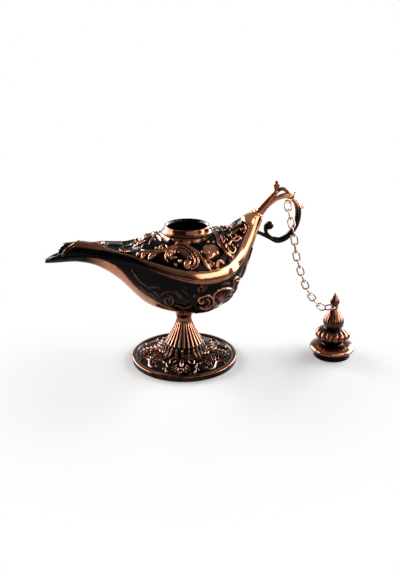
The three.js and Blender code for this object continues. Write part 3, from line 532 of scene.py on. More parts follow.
# %% Stems towards the neck
STEM_STROKES = [
    ("reed", 0.85, 1.00, [(8.41, .97), (8.69, .78), (8.83, .62), (8.99, .51), (9.16, .39), (9.35, .3),
        (9.61, .19)]),
    ("leaf", 1.10, 0.95, [(9.02, .79), (9.14, .68), (9.04, .58)]),
    ("pearl", 0.70, 1.00, [(9.39, .63)]),
    ("cord", 0.60, 1.00, [(9.30, .54), (9.33, .44), (9.44, .34), (9.65, .27), (9.90, .27), (9.96, .32),
        (9.80, .38)]),
    ("cord", 0.60, 0.95, [(9.53, .46), (9.65, .51), (9.94, .5), (10.20, .42), (10.47, .37), (10.69, .37)]),
    ("cord", 0.60, 0.95, [(9.90, .6), (10.06, .52), (10.41, .48), (10.68, .4), (10.74, .29)]),
    ("cord", 0.55, 0.90, [(9.65, .67), (9.97, .68), (10.31, .61), (10.43, .51)]),
    ("leaf", 0.85, 1.00, [(11.00, .5), (11.40, .45)]),
    ("leaf", 0.80, 0.95, [(9.98, .82), (10.52, .81), (11.02, .73), (11.50, .63)]),
    ("leaf", 0.70, 0.90, [(10.06, .71), (10.60, .65), (11.05, .6)]),
    ("cord", 0.50, 0.85, [(11.64, .49), (11.54, .35), (11.16, .32)]),
]
print("stems:", len(STEM_STROKES), "strokes")

# %% Leaves towards the spout
SPOUT_STROKES = [
    ("cord", 0.60, 0.95, [(5.75, .46), (5.99, .42), (6.20, .42), (6.41, .43), (6.59, .47), (6.68, .53),
        (6.63, .59), (6.51, .6), (6.41, .55)]),
    ("cord", 0.45, 0.85, [(5.96, .34), (6.24, .37), (6.47, .42), (6.64, .47), (6.73, .55)]),
    ("pearl", 0.65, 0.95, [(6.31, .52)]),
    ("pearl", 0.60, 0.90, [(6.42, .51)]),
    ("pearl", 0.65, 0.95, [(6.53, .52)]),
    ("leaf", 0.75, 0.95, [(5.77, .62), (5.87, .7)]),
    ("leaf", 1.30, 1.15, [(6.08, .19), (6.15, .28), (6.31, .33)]),
    ("leaf", 1.15, 1.15, [(5.83, .19), (5.85, .3), (5.93, .36)]),
    ("leaf", 0.95, 1.05, [(5.60, .25), (5.64, .32), (5.71, .37)]),
    ("leaf", 0.95, 1.05, [(4.85, .58), (5.08, .51), (5.35, .42)]),
    ("pearl", 1.25, 1.25, [(4.10, .93)]),
    ("leaf", 1.10, 1.05, [(5.53, .82), (5.74, .89), (5.92, .97), (6.10, .98), (6.25, .92)]),
    ("leaf", 0.90, 0.90, [(5.38, .76), (5.63, .75), (5.87, .8), (6.05, .83)]),
    ("cord", 0.55, 0.90, [(6.05, .69), (6.12, .87), (6.23, .96), (6.38, .87), (6.46, .75)]),
]
print("leaves and scrolls:", len(SPOUT_STROKES), "strokes")

# %% Pearls and crown leaves
CROWN_STROKES = [
    ("pearl", 0.60, 0.90, [(9.80, .42)]),
    ("pearl", 0.55, 0.90, [(10.22, .30)]),
    ("pearl", 0.55, 0.85, [(11.60, .75)]),
    ("leaf", 0.80, 0.90, [(9.10, .97), (9.50, .92), (9.90, .98)]),
    ("leaf", 0.90, 0.50, [(4.35, .98), (4.62, .92), (4.90, .97)]),
    ("leaf", 0.85, 0.50, [(4.92, .93), (5.12, .86), (5.36, .90)]),
    ("leaf", 0.75, 0.90, [(6.10, .74), (6.20, .84), (6.27, .75)]),
    ("leaf", 1.00, 0.50, [(5.20, 1.0), (5.36, .96), (5.52, 1.0)]),
    ("leaf", 1.00, 1.05, [(5.72, 1.0), (5.82, .98), (5.94, 1.0)]),
    ("leaf", 1.00, 1.05, [(6.16, 1.0), (6.28, .97), (6.40, 1.0)]),
    ("leaf", 0.90, 1.00, [(8.75, 1.0), (8.95, .95), (9.15, 1.0)]),
    ("leaf", 0.90, 0.50, [(10.1, 1.0), (10.5, .97), (10.9, 1.0)]),
]
COVER_STROKES = SPIRAL_STROKES + STEM_STROKES + SPOUT_STROKES + CROWN_STROKES
SPOUT_RING = ("cord", 0.90, 0.38, [(2.20, 0.0), (2.23, 0.11), (2.69, 0.48), (2.95, 0.80), (3.03, 1.0)])
print("cover strokes:", len(COVER_STROKES))

# %% [markdown]
# ## The cover's surface
# A thin shell has two skins. The outer one is lifted along its normals by band, scrolls, ring and petals, and the
# inner one stays smooth. Blender's Solidify could add the inner skin, but it would follow every scroll, and the wall
# would go thin in the corners. First comes the grid, with each point's distance from the panel's edge: more than 0
# inside the panel, less than 0 outside.

# %% Cover grid
COVER_START = 1.75
COVER_ROWS, COVER_COLUMNS = 328, 150

station, place, ground = body_grid(UPPER, COVER_START, COVER_ROWS, COVER_COLUMNS)
inner = body_points(station, place, UPPER, inside=True)
folded_place = np.minimum(place, 2 - place)
front = to_front(ground)

edge_line = even_line(on_body(UPPER, np.vstack([PANEL_EDGE, PANEL_END])), 700)
edge_gap = np.concatenate([
    np.linalg.norm(part[:, None] - edge_line[None], axis=2).min(1) for part in np.array_split(front, 40)
]).reshape(station.shape)
in_panel = folded_place > np.interp(station, *PANEL_EDGE.T, left=2)
in_panel &= station < np.interp(folded_place, *PANEL_END.T[::-1])
from_edge = np.where(in_panel, edge_gap, -edge_gap)
print("panel:", round(100 * float(in_panel.mean())), "% of the cover's points")

# %% Cover band
BAND_PROUD = 1.1


def seam_distance(ground, place):
    """Distance of each point from the seam's point in its own row, on its own side."""
    return np.linalg.norm(ground - np.where((place < 1)[..., None], ground[:, :1], ground[:, -1:]), axis=-1)


def slim_share(station, proud):
    """Less than 1 where the body is so narrow that a moulding has to shrink with it."""
    return np.minimum(1, flow(STATIONS, station)[..., 5] / (4 * proud))


frame_share = np.maximum(1 - step_up(0.12, 0.17, folded_place), 1 - step_up(0.8, 4.5, -from_edge))
from_seam = seam_distance(ground, place)
across_band = from_seam / np.maximum(from_seam - from_edge, 0.1)
rounding = 0.3 + 0.7 * np.cos(np.pi / 2 * np.clip((across_band - 0.3) / 0.7, 0, 1))
swell = np.where(across_band < 0.3, 1, rounding) + 0.45 * np.clip(1 - across_band / 0.6, 0, 1)
slim = slim_share(station, BAND_PROUD)
band = BAND_PROUD * slim * swell * (1 - step_up(-0.35, 0.30, from_edge)) * frame_share
print("band:", tidy(band.max()), "mm proud")


# %% Cover relief
def body_strokes(side, strokes):
    """Strokes of station and place as strokes whose lines lie on the body."""
    return [(kind, width, rise, on_body(side, spots)) for kind, width, rise, spots in strokes]


relief = carve(front, body_strokes(UPPER, COVER_STROKES)).reshape(station.shape) * step_up(-0.1, 0.5, from_edge)
ring = carve(front, body_strokes(UPPER, [SPOUT_RING])).reshape(station.shape)
print("scrolls:", tidy(relief.max()), "mm high, spout ring:", tidy(ring.max()), "mm")

# %% [markdown]
# ## The mouth's pad
# The mouth stands on a flat round pad with a rosette of petals round it. The pad is a level that the dome's own
# surface bends into. A separate disc would leave a sharp line that the casting doesn't have.

# %% Mouth pad
MOUTH_STATION = 7.337
MOUTH_PETALS = 16
PETAL_RADIUS = 11.6
PAD_RISE = 0.45
MOUTH_CROWN = on_body(UPPER, [(MOUTH_STATION, 1.0)])[0]
MOUTH_X, PAD_TOP = MOUTH_CROWN[0], MOUTH_CROWN[2] + PAD_RISE


def around_mouth(points):
    """Distance from the mouth's axis and angle round it."""
    x, y = points[..., 0] - MOUTH_X, points[..., 1]
    return np.hypot(x, y), np.arctan2(y, x)


radius, angle = around_mouth(ground)
petal_edge = PETAL_RADIUS + 0.8 * np.abs(np.cos(MOUTH_PETALS * angle / 2)) ** 0.6
petal = step_up(0.0, 0.35, petal_edge - radius)
relief = relief * step_up(PETAL_RADIUS, 12.2, radius)
boss = 1 - step_up(11.2, 12.5, radius)
print("mouth's axis at x", tidy(MOUTH_X), "mm, pad", tidy(PAD_TOP), "mm high")

# %% Cover lift
BAND_LAP = 0.7


def grid_normals(grid, round_columns=False):
    """Unit normals of a grid: the direction along its columns crossed with the one along its rows."""
    along = np.gradient(grid, axis=0)
    if round_columns:
        across = (np.roll(grid, -1, 1) - np.roll(grid, 1, 1)) / 2
    else:
        across = np.gradient(grid, axis=1)
    normal = np.cross(across, along)
    return normal / np.maximum(np.linalg.norm(normal, axis=-1, keepdims=True), 1e-12)


sunk = 0.8 * bell(5.1, 0.65, station) * step_up(0.1, 1.5, from_edge)
inner[..., 2] -= sunk
nose = 0.9 * step_up(2.75, 2.2, station) * step_up(0.15, 0.75, folded_place) * step_up(1.5, 2.1, station)
lift = np.maximum(band, relief) + ring + nose + 0.30 * petal - sunk
down = ground[:, [0, -1]] - ground[:, [1, -2]]
down = np.repeat(down / np.linalg.norm(down, axis=-1, keepdims=True), COVER_COLUMNS // 2, axis=1)
lap = BAND_LAP * (1 - step_up(0.0, 0.10, folded_place)) * step_up(4.5, 6.5, station) * step_up(12.6, 11.0, station)
raised = ground - grid_normals(ground) * lift[..., None] + down * lap[..., None]
raised[..., 2] += (PAD_TOP - raised[..., 2]) * boss
print("lift:", tidy(lift.min()), "to", tidy(lift.max()), "mm")

# %% [markdown]
# ## The cover's opening
# The mouth is a real hole. A Boolean cut would leave long thin faces in the fine grid. So the quads inside the
# hole's circle are left out, the points on its edge are moved onto the circle, and every open edge of the two skins
# gets a wall between them.


# %% Closed shell
def shell_of(outer, inner, quads):
    """Closes an outer and an inner sheet of the same quads: the inner one is turned over, and each open edge of
    the sheet gets a quad across the wall."""
    count = len(outer)
    edges = np.concatenate([quads[:, [i, (i + 1) % 4]] for i in range(4)])
    codes = edges[:, 0] * count + edges[:, 1]
    back = edges[:, 1] * count + edges[:, 0]
    a, b = edges[~np.isin(back, codes)].T
    walls = np.stack([b, a, a + count, b + count], 1)
    return np.vstack([outer, inner]), np.vstack([quads, quads[:, ::-1] + count, walls])


corner = np.zeros((4, 3))
print("one quad closes into", len(shell_of(corner, corner, np.array([[0, 1, 2, 3]]))[1]), "faces")

# %% Cover opening
MOUTH_HOLE_RADIUS = 10.1

in_hole = radius < MOUTH_HOLE_RADIUS
quads = quads_of(COVER_ROWS, COVER_COLUMNS)
quads = quads[~in_hole.ravel()[quads].all(1)]
for sheet in (raised, inner):
    sheet_radius, sheet_angle = around_mouth(sheet)
    circle = MOUTH_HOLE_RADIUS * np.stack([np.cos(sheet_angle), np.sin(sheet_angle)], -1) + [MOUTH_X, 0]
    moved = in_hole & (sheet_radius < MOUTH_HOLE_RADIUS)
    sheet[..., :2] = np.where(moved[..., None], circle, sheet[..., :2])
points, faces = shell_of(raised.reshape(-1, 3), inner.reshape(-1, 3), quads[:, ::-1])
print("cover shell:", len(faces), "faces")

# %% [markdown]
# ## Rubbing the cover
# On the real cover the band and the sleeve are bright, the panel's ground is black, and the scrolls are bright on
# their tops only. Vertex paint could say that by hand. Here the rub is worked out from the same arrays that lifted
# the points, so it can't slip off the relief. Outside the panel it also paints light: the spout's upper side has a
# brown painted reflection above a black lower side, the band grows brighter towards the neck partly as a painted
# highlight, and the spout's ring gets painted highlights along its edges.

# %% Cover rub
# Painted reflection on the spout's upper side: above a line of places that falls from 0.45 near the spout to the seam
# by station 7, the plain surface is brown to bright; below it, black. Along the stations it grows brighter towards
# the neck, partly rubbed copper and partly a painted highlight.
REFLECTION_START = ([2.7, 4.0, 5.0, 6.0, 7.0], [0.45, 0.35, 0.20, 0.06, 0.0])
PLAIN_RUB_AND_HIGHLIGHT = ([2.6, 3.0, 5.0, 5.7, 6.6, 7.3, 8.2, 9.5], [0.0, 0.42, 0.52, 0.60, 0.52, 0.56, 0.88, 0.92])

reflection_side = step_up(-0.06, 0.06, folded_place - np.interp(station, *REFLECTION_START))
plain = 0.04 + reflection_side * np.interp(station, *PLAIN_RUB_AND_HIGHLIGHT)
carved = 0.02 + 0.60 * step_up(0.25, 0.85, relief)
rose_gap = np.linalg.norm(front - on_body(UPPER, [ROSE_SPOT]), axis=1).reshape(station.shape)
carved += 0.14 * step_up(4.2, 3.6, rose_gap) * step_up(0.4, 0.9, relief)
rub_and_sheen = np.where(from_edge < 0, plain, carved)
# Painted highlights: thin bright lines along both edges of the spout's ring over a brown top, fading out towards the
# seam.
ring_edge_highlight = bell(0.13, 0.06, ring) * (ring > 0.02)
rub_and_sheen = np.maximum(rub_and_sheen, 0.26 * step_up(0.18, 0.32, ring) + 0.62 * ring_edge_highlight * step_up(0.05, 0.5, folded_place))
rosette = np.maximum(0.05 + 0.40 * petal * step_up(0.05, 0.5, petal_edge - radius), rub_and_sheen)
rub_and_sheen = np.where(radius < 12.4, rosette, rub_and_sheen)
print("rub over the cover:", tidy(rub_and_sheen.mean()), "on average")

# %% Cover
rub_and_sheen = np.concatenate([rub_and_sheen.ravel(), np.zeros(rub_and_sheen.size)])
used = np.unique(faces)
renumber = np.zeros(len(points), int)
renumber[used] = np.arange(len(used))
piece("cover_casting", points[used], renumber[faces].tolist(), "cover", rub_and_sheen[used])

# %% [markdown]
# ## Bowl
# The bowl is black all over, with a thin copper bead below the seam and a wide bare stripe along the keel. Its
# ornament is low and hardly rubbed, apart from the scroll and the shell towards the back. It is made as the cover
# was, but each stroke has a first number too, its own rub, because how bright a stroke is doesn't follow from its
# height here.

# %% Keel stripe
KEEL_EDGE = np.array([
    (0.0, 0.30), (2.0, 0.20), (4.0, 0.13), (4.32, 0.15), (4.75, 0.20), (5.06, 0.28), (5.31, 0.37), (5.54, 0.41),
    (5.79, 0.43), (6.11, 0.45), (6.43, 0.51), (6.75, 0.54), (7.0, 0.58), (7.3, 0.72), (7.5, 1.05),
])
print("keel stripe:", len(KEEL_EDGE), "places along its edge")

# %% Scroll and shell
# rub, kind, width, rise, and the line as pairs of station and place
SHELL_STROKES = [
    (0.9, "cord", 0.60, 0.75, [(7.93, .29), (7.87, .34), (7.78, .32), (7.75, .27), (7.82, .23), (7.96, .21),
        (8.12, .21), (8.25, .25), (8.30, .34), (8.27, .42), (8.15, .49), (8.02, .50), (7.88, .47), (7.78, .42)]),
    (0.8, "cord", 0.50, 0.65, [(8.03, .26), (8.12, .29), (8.14, .36), (8.08, .43), (7.97, .44)]),
    (0.9, "cord", 0.50, 0.70, [(8.33, .29), (8.37, .21), (8.52, .18), (8.75, .18), (9.03, .25), (9.29, .43)]),
    (0.8, "leaf", 0.55, 0.65, [(8.56, .42), (8.42, .25)]),
    (0.8, "leaf", 0.55, 0.65, [(8.57, .42), (8.54, .23)]),
    (0.8, "leaf", 0.55, 0.65, [(8.58, .42), (8.68, .23)]),
    (0.8, "leaf", 0.55, 0.65, [(8.59, .42), (8.84, .27)]),
    (0.8, "leaf", 0.55, 0.65, [(8.59, .43), (9.00, .36)]),
    (0.8, "leaf", 0.60, 0.65, [(8.59, .44), (9.04, .50)]),
    (0.8, "leaf", 0.60, 0.65, [(8.58, .45), (8.90, .57)]),
    (1.0, "pearl", 0.75, 0.85, [(8.51, .49)]),
    (0.9, "leaf", 0.60, 0.70, [(8.29, .38), (8.38, .40), (8.46, .46)]),
    (0.7, "leaf", 0.60, 0.65, [(8.70, .62), (8.95, .68), (9.20, .62)]),
    (0.7, "leaf", 0.60, 0.65, [(9.20, .55), (9.40, .60), (9.55, .50)]),
    (0.7, "cord", 0.45, 0.60, [(9.30, .50), (9.60, .44), (9.95, .52), (10.35, .46), (10.75, .56), (11.20, .50)]),
    (0.7, "leaf", 0.55, 0.60, [(9.90, .55), (10.10, .70), (10.40, .78)]),
    (0.7, "leaf", 0.55, 0.60, [(10.40, .50), (10.60, .66), (10.95, .74)]),
]
print("scroll and shell:", len(SHELL_STROKES), "strokes")

# %% Waves and low leaves
WAVE_STROKES = [
    (0.45, "cord", 0.45, 0.50, [(7.77, .15), (7.76, .10), (7.86, .07), (7.95, .10), (7.91, .13), (7.85, .12)]),
    (0.45, "leaf", 0.40, 0.45, [(8.04, .06), (8.06, .09), (8.00, .12)]),
    (0.5, "leaf", 0.55, 0.55, [(7.55, .24), (7.63, .19), (7.69, .22)]),
    (0.4, "leaf", 0.80, 0.45, [(8.69, .10), (8.94, .12), (9.14, .19)]),
    (0.6, "cord", 0.45, 0.55, [(9.30, .26), (9.41, .18), (9.62, .22), (9.72, .34), (9.60, .34), (9.54, .27)]),
    (0.32, "cord", 0.45, 0.45, [(6.45, .35), (6.56, .27), (6.70, .22), (6.87, .20), (7.03, .23), (7.14, .28),
        (7.27, .31), (7.44, .30)]),
    (0.30, "cord", 0.40, 0.40, [(6.92, .17), (7.05, .20), (7.17, .25), (7.30, .28)]),
    (0.32, "cord", 0.55, 0.45, [(6.78, .37), (6.72, .32), (6.63, .36), (6.66, .45), (6.79, .46), (6.88, .38),
        (6.82, .29), (6.68, .27)]),
    (0.40, "leaf", 0.80, 0.50, [(5.47, .14), (5.59, .18), (5.75, .23), (5.91, .25), (6.06, .27)]),
    (0.40, "leaf", 0.55, 0.45, [(6.04, .29), (6.18, .24), (6.34, .21), (6.47, .22)]),
    (0.30, "leaf", 0.60, 0.40, [(5.80, .33), (6.00, .36), (6.20, .36), (6.40, .42)]),
    (0.30, "leaf", 0.60, 0.40, [(6.20, .30), (6.32, .31), (6.45, .38)]),
    (0.45, "cord", 0.45, 0.50, [(6.89, .44), (7.05, .44), (7.20, .47), (7.34, .45), (7.47, .40)]),
    (0.30, "leaf", 0.45, 0.40, [(7.27, .09), (7.35, .13)]),
    (0.30, "leaf", 0.50, 0.40, [(7.17, .14), (7.31, .18), (7.44, .23)]),
    (0.35, "leaf", 0.55, 0.45, [(7.48, .36), (7.60, .40), (7.70, .50)]),
    (0.35, "leaf", 0.55, 0.45, [(7.30, .37), (7.10, .36), (6.95, .40)]),
    (0.45, "leaf", 0.75, 0.55, [(7.60, .66), (7.90, .60), (8.25, .62), (8.50, .70)]),
    (0.45, "leaf", 0.75, 0.55, [(7.70, .85), (8.10, .78), (8.50, .84), (8.80, .80)]),
]
BOWL_STROKES = SHELL_STROKES + WAVE_STROKES
print("bowl strokes:", len(BOWL_STROKES))

# %% Bowl grid
BOWL_ROWS, BOWL_COLUMNS, BOWL_INNER_COLUMNS = 430, 190, 22
BEAD_PROUD = 0.5
BEAD_DOWN, BEAD_HALF = 1.45, 0.75

station, place, ground = body_grid(LOWER, 0, BOWL_ROWS, BOWL_COLUMNS)
folded_place = np.minimum(place, 2 - place)
front = to_front(ground)
slim = slim_share(station, BEAD_PROUD)
from_seam = seam_distance(ground, place)
bead = BEAD_PROUD * slim * np.sqrt(np.clip(1 - ((from_seam - BEAD_DOWN) / BEAD_HALF) ** 2, 0, 1))
bead_share = step_up(5.6, 7.2, station)
print("bead:", tidy(bead.max()), "mm proud")

# %% Bowl relief
lines = body_strokes(LOWER, [stroke for rubbed, *stroke in BOWL_STROKES])
relief = carve(front, lines).reshape(station.shape)
bright = np.zeros(len(front))
for (rubbed, *stroke), line in zip(BOWL_STROKES, lines):
    bright = np.maximum(bright, rubbed * step_up(0.25, 0.9, carve(front, [line]) / line[2]))
bright = bright.reshape(station.shape)

girth = np.linalg.norm(np.diff(ground, axis=1), axis=-1).sum(1)[:, None] / 2
past_keel_edge = (folded_place - np.interp(station, *KEEL_EDGE.T, right=2)) * girth
stripe = step_up(-0.25, 0.25, past_keel_edge)
groove = bell(0, 0.35, past_keel_edge) * step_up(4.4, 5.2, station)
relief = relief * (1 - stripe) * step_up(2.2, 3.0, from_seam)
lift = bead * (0.35 + 0.65 * bead_share) + relief - 0.30 * groove
outer = ground + grid_normals(ground) * lift[..., None]
print("waves and shells:", tidy(relief.max()), "mm high")

# %% Bowl
rub_and_sheen = 0.01 + 0.68 * bright**0.9 * (1 - stripe) * step_up(2.2, 3.0, from_seam)
rub_and_sheen = np.maximum(rub_and_sheen, stripe * 0.70 * step_up(3.0, 4.6, station))
rub_and_sheen = np.maximum(rub_and_sheen, (0.08 + 0.42 * bead_share) * step_up(0.30, 0.85, bead / (BEAD_PROUD * slim)))
rub_and_sheen = rub_and_sheen - 0.5 * groove
rub_and_sheen = np.maximum(rub_and_sheen, 0.88 * step_up(11.2, 12.0, station) * (from_seam > 0.9))

inner_place = np.linspace(2, 0, BOWL_INNER_COLUMNS)
inner = body_points(*np.meshgrid(station[:, 0], inner_place, indexing="ij"), LOWER, inside=True)
rub_and_sheen = np.concatenate([rub_and_sheen, np.zeros(inner.shape[:2])], 1)
bowl_faces = tube_faces(BOWL_ROWS, BOWL_COLUMNS + BOWL_INNER_COLUMNS)
piece("bowl_casting", np.concatenate([outer, inner], 1), bowl_faces, "bowl", rub_and_sheen)

# %% [markdown]
# ## Turned pieces
# Mouth ring, foot, ferrule and stopper are turned: a profile of radius and height is swept round an axis. Blender's
# Screw modifier does that too. As an array the swept grid can still be changed: flutes, lobes and relief alter the
# radius or the height as functions of the angle. A profile that closes on itself makes a ring, whose last row joins
# its first.


# %% Turning
def turned(profile, count, power=0.5, corners=()):
    """A profile of radius and height as evenly spaced places. Corners split it, so that edges stay crisp."""
    profile = np.asarray(profile, float)
    stops = [0, *corners, len(profile) - 1]
    parts = [profile[a : b + 1] for a, b in zip(stops, stops[1:])]
    lengths = np.array([np.linalg.norm(np.diff(part, axis=0), axis=1).sum() for part in parts])
    shares = np.maximum(2, np.round(count * lengths / lengths.sum()).astype(int))
    lines = [even_line(part, share + 1, power) for part, share in zip(parts, shares)]
    return np.vstack([lines[0]] + [line[1:] for line in lines[1:]])


def swept(radius, height, angle, axis=(0.0, 0.0)):
    """Points at each radius and height, for every angle: x and y lie round the axis."""
    x = axis[0] + radius * np.cos(angle)
    y = axis[1] + radius * np.sin(angle)
    return np.stack([x, y, np.broadcast_to(height, x.shape)], -1)


def full_turn(count):
    """Angles of one turn in equal steps. The last step leads back to the first."""
    return np.linspace(0, 2 * np.pi, count, endpoint=False)


def ring_faces(rows, columns):
    """Faces of a ring: a tube with one more row, which is the first again."""
    return (quads_of(rows + 1, columns, round_columns=True) % (rows * columns)).tolist()


print("a turned quarter:", turned([(2, 0), (1.4, 1.4), (0, 2)], 4).round(2).tolist())

# %% [markdown]
# ## Mouth ring
# The ring is turned in one piece: a spigot that goes down into the cover, a foot on the pad, a hollow throat and a
# rolled lip. Its profile runs once round the metal and closes on itself. The bore stays black, and the lip is rubbed.

# %% Mouth ring
MOUTH_BORE = 8.95
SPIGOT_RADIUS = 9.85
SPIGOT_END = PAD_TOP - 3.6
COLLAR_BASE = PAD_TOP + SEAT_GAP
COLLAR_TOP = COLLAR_BASE + 3.0
RING_COLUMNS = 180

profile = turned(
    [(MOUTH_BORE, SPIGOT_END), (SPIGOT_RADIUS, SPIGOT_END), (SPIGOT_RADIUS, COLLAR_BASE), (11.15, COLLAR_BASE),
     (11.3, COLLAR_BASE + 0.3), (10.85, COLLAR_BASE + 0.7), (10.45, COLLAR_BASE + 1.5), (10.0, COLLAR_TOP - 0.25),
     (9.88, COLLAR_TOP - 0.06), (9.70, COLLAR_TOP), (9.52, COLLAR_TOP - 0.06), (9.40, COLLAR_TOP - 0.25),
     (MOUTH_BORE, COLLAR_TOP - 1.0), (MOUTH_BORE, SPIGOT_END)],
    90, corners=(1, 2, 3, 12),
)[:-1]
radius, height = profile[:, :1], profile[:, 1:]
points = swept(radius, height, full_turn(RING_COLUMNS)[None], (MOUTH_X, 0))
inside_bore = np.arange(len(profile)) > np.argmax(height)
rub_and_sheen = np.where(inside_bore, 0.0, 0.25 + 0.15 * step_up(COLLAR_TOP - 0.3, COLLAR_TOP, height.ravel()))
faces = ring_faces(len(profile), RING_COLUMNS)
piece("mouth_ring", points, faces, "mouth_collar", np.repeat(rub_and_sheen, RING_COLUMNS))

# %% [markdown]
# ## Foot
# The foot's field carries a crown of small lobes in front and behind and at both sides, with leaves and hooked
# tendrils between them. The whole circle could be drawn, but on the lamp a quarter repeats. So a quarter is drawn in
# polar form, as degrees from the front and radius, and the other quarters mirror it.

# %% Foot strokes
FOOT_TURN = np.radians(-4)
LOBED_STROKES = [
    ("leaf", 0.85, 0.60, [(0, 9.15), (0, 9.6), (0, 10.4)]),
    ("leaf", 0.80, 0.60, [(18, 9.15), (17, 9.6), (15, 10.4)]),
    ("leaf", 0.45, 0.50, [(3, 10.2), (6, 11.0)]),
    ("cord", 0.40, 0.55, [(17, 13.3), (14, 11.3), (5, 11.4), (0, 12.0)]),
    ("cord", 0.40, 0.55, [(22, 14.1), (27, 11.6), (22, 10.4), (13, 10.2)]),
    ("leaf", 1.05, 0.75, [(0, 11.6), (0, 13.8), (0, 16.2)]),
    ("leaf", 0.55, 0.65, [(9, 14.5), (14, 17.2)]),
    ("leaf", 0.55, 0.65, [(7, 16.4), (12, 19.0)]),
    ("leaf", 0.55, 0.65, [(4, 17.2), (8, 20.4)]),
    ("pearl", 0.60, 0.60, [(5, 18.9)]),
    ("pearl", 0.60, 0.60, [(0, 20.2)]),
    ("pearl", 0.50, 0.60, [(0, 17.6)]),
    ("leaf", 0.60, 0.65, [(29, 14.4), (23, 16.2), (19, 17.6)]),
    ("leaf", 0.60, 0.65, [(23, 17.6), (20, 19.2), (17, 21.4)]),
    ("pearl", 0.55, 0.60, [(24, 18.9)]),
]
BETWEEN_STROKES = [
    ("cord", 0.50, 0.65, [(65, 21.4), (67, 20.2), (65, 18.8), (59, 17.9), (52, 19.0), (45, 20.4), (38, 20.2),
        (36, 18.6)]),
    ("pearl", 0.70, 0.70, [(37, 18.8)]),
    ("cord", 0.40, 0.55, [(45, 17.4), (45, 15.4), (38, 14.4), (30, 15.2)]),
    ("leaf", 0.75, 0.65, [(62, 16.6), (72, 14.9), (82, 13.0)]),
    ("leaf", 0.75, 0.65, [(59, 16.0), (68, 13.2), (76, 10.6)]),
    ("leaf", 0.75, 0.65, [(55, 16.0), (57, 13.0), (56, 10.0)]),
    ("leaf", 0.75, 0.65, [(50, 15.6), (47, 12.6), (40, 10.2)]),
    ("leaf", 0.60, 0.60, [(46, 14.6), (40, 12.4), (33, 10.6)]),
    ("leaf", 0.55, 0.60, [(57, 17.6), (52, 16.6), (47, 18.6)]),
    ("leaf", 0.80, 0.60, [(31, 9.1), (36, 9.8), (42, 11.6)]),
    ("leaf", 0.80, 0.60, [(45, 9.1), (47, 9.8), (50, 11.8)]),
    ("leaf", 0.80, 0.60, [(59, 9.1), (60, 9.8), (63, 11.8)]),
]
side_strokes = [(kind, width, rise, [(90 - a, r) for a, r in spots]) for kind, width, rise, spots in LOBED_STROKES]
FOOT_STROKES = LOBED_STROKES + side_strokes + BETWEEN_STROKES
print("foot strokes in a quarter:", len(FOOT_STROKES))

# %% Foot profile
FOOT_EDGE = 24.5
FOOT_COLUMNS = 600

edge = turned(
    [(FOOT_EDGE - 0.5, 0), (FOOT_EDGE - 0.1, 0.15), (FOOT_EDGE, 0.6), (FOOT_EDGE, 2.1), (FOOT_EDGE - 0.15, 2.55),
     (FOOT_EDGE - 0.6, 2.7), (22.75, 2.68), (22.45, 2.5), (22.12, 2.22)],
    22,
)
field = turned([(22.1, 2.2), (17.3, 2.97), (10.7, 3.95)], 46)
stem = turned(
    [(10.55, 4.05), (10.1, 4.4), (8.9, 9.02), (6.48, 13.31), (4.34, 17.6), (3.4, 20.9), (3.62, 22.2), (4.25, 23.5),
     (4.55, STEM_HEIGHT)],
    62,
)
foot_profile = np.vstack([edge, field[1:], stem, [(2.0, STEM_HEIGHT)]])
print("foot profile:", len(foot_profile), "rows")

# %% [markdown]
# ## Flutes
# The stem's flutes are hollows between narrow ridges, and they end below in a ring of petals. They could be cut with
# twenty-four Booleans. One cosine of the angle does the same: its valleys pull the radius in, and its ridges start
# lower down.

# %% Flutes
FLUTES = 24
FLUTE_END = 9.0

turn = full_turn(FOOT_COLUMNS)[None]
radius, height = foot_profile[:, :1], foot_profile[:, 1:]
ridge = np.abs(np.cos(FLUTES * turn / 2)) ** 0.6
flute_end = FLUTE_END + 0.5 - 0.9 * ridge**3
flute_share = step_up(-0.15, 0.35, height - flute_end) * step_up(22.5, 21.9, height)
waist = 0.03 * step_up(FLUTE_END + 0.6, FLUTE_END - 0.2, height) * (1 - flute_share) * step_up(4.6, 7.0, height)
fluted = radius * (1 - waist)
fluted = fluted * (1 - 0.13 * flute_share * (1 - ridge))
ground = swept(fluted, height, turn)
print("narrowest:", tidy(fluted[:-1].min()), "mm radius")


# %% Foot relief
def on_foot(spots):
    """A stroke's line on the plain foot, from pairs of degrees from its front and radius."""
    angle, radius = np.radians(np.array(spots, float)[:, 0]), np.array(spots, float)[:, 1]
    profile = foot_profile[np.argsort(foot_profile[:, 0])]
    profile = profile[profile[:, 0] > 8.0]
    return np.stack([radius * np.sin(angle), -radius * np.cos(angle), np.interp(radius, *profile.T)], -1)


from_front = np.arctan2(ground[..., 0], -ground[..., 1]) - FOOT_TURN
quarter = np.abs((from_front + np.pi) % (2 * np.pi) - np.pi)
quarter = np.minimum(quarter, np.pi - quarter)
reach = np.hypot(ground[..., 0], ground[..., 1])
folded = np.stack([reach * np.sin(quarter), -reach * np.cos(quarter), np.broadcast_to(height, reach.shape)], -1)
lines = [(kind, width, rise, on_foot(spots)) for kind, width, rise, spots in FOOT_STROKES]
relief = carve(folded.reshape(-1, 3), lines).reshape(reach.shape)
relief *= step_up(22.3, 21.8, radius) * (1 - flute_share)
raised = ground + grid_normals(ground, round_columns=True) * relief[..., None]
print("leaves and crowns:", tidy(relief.max()), "mm high")

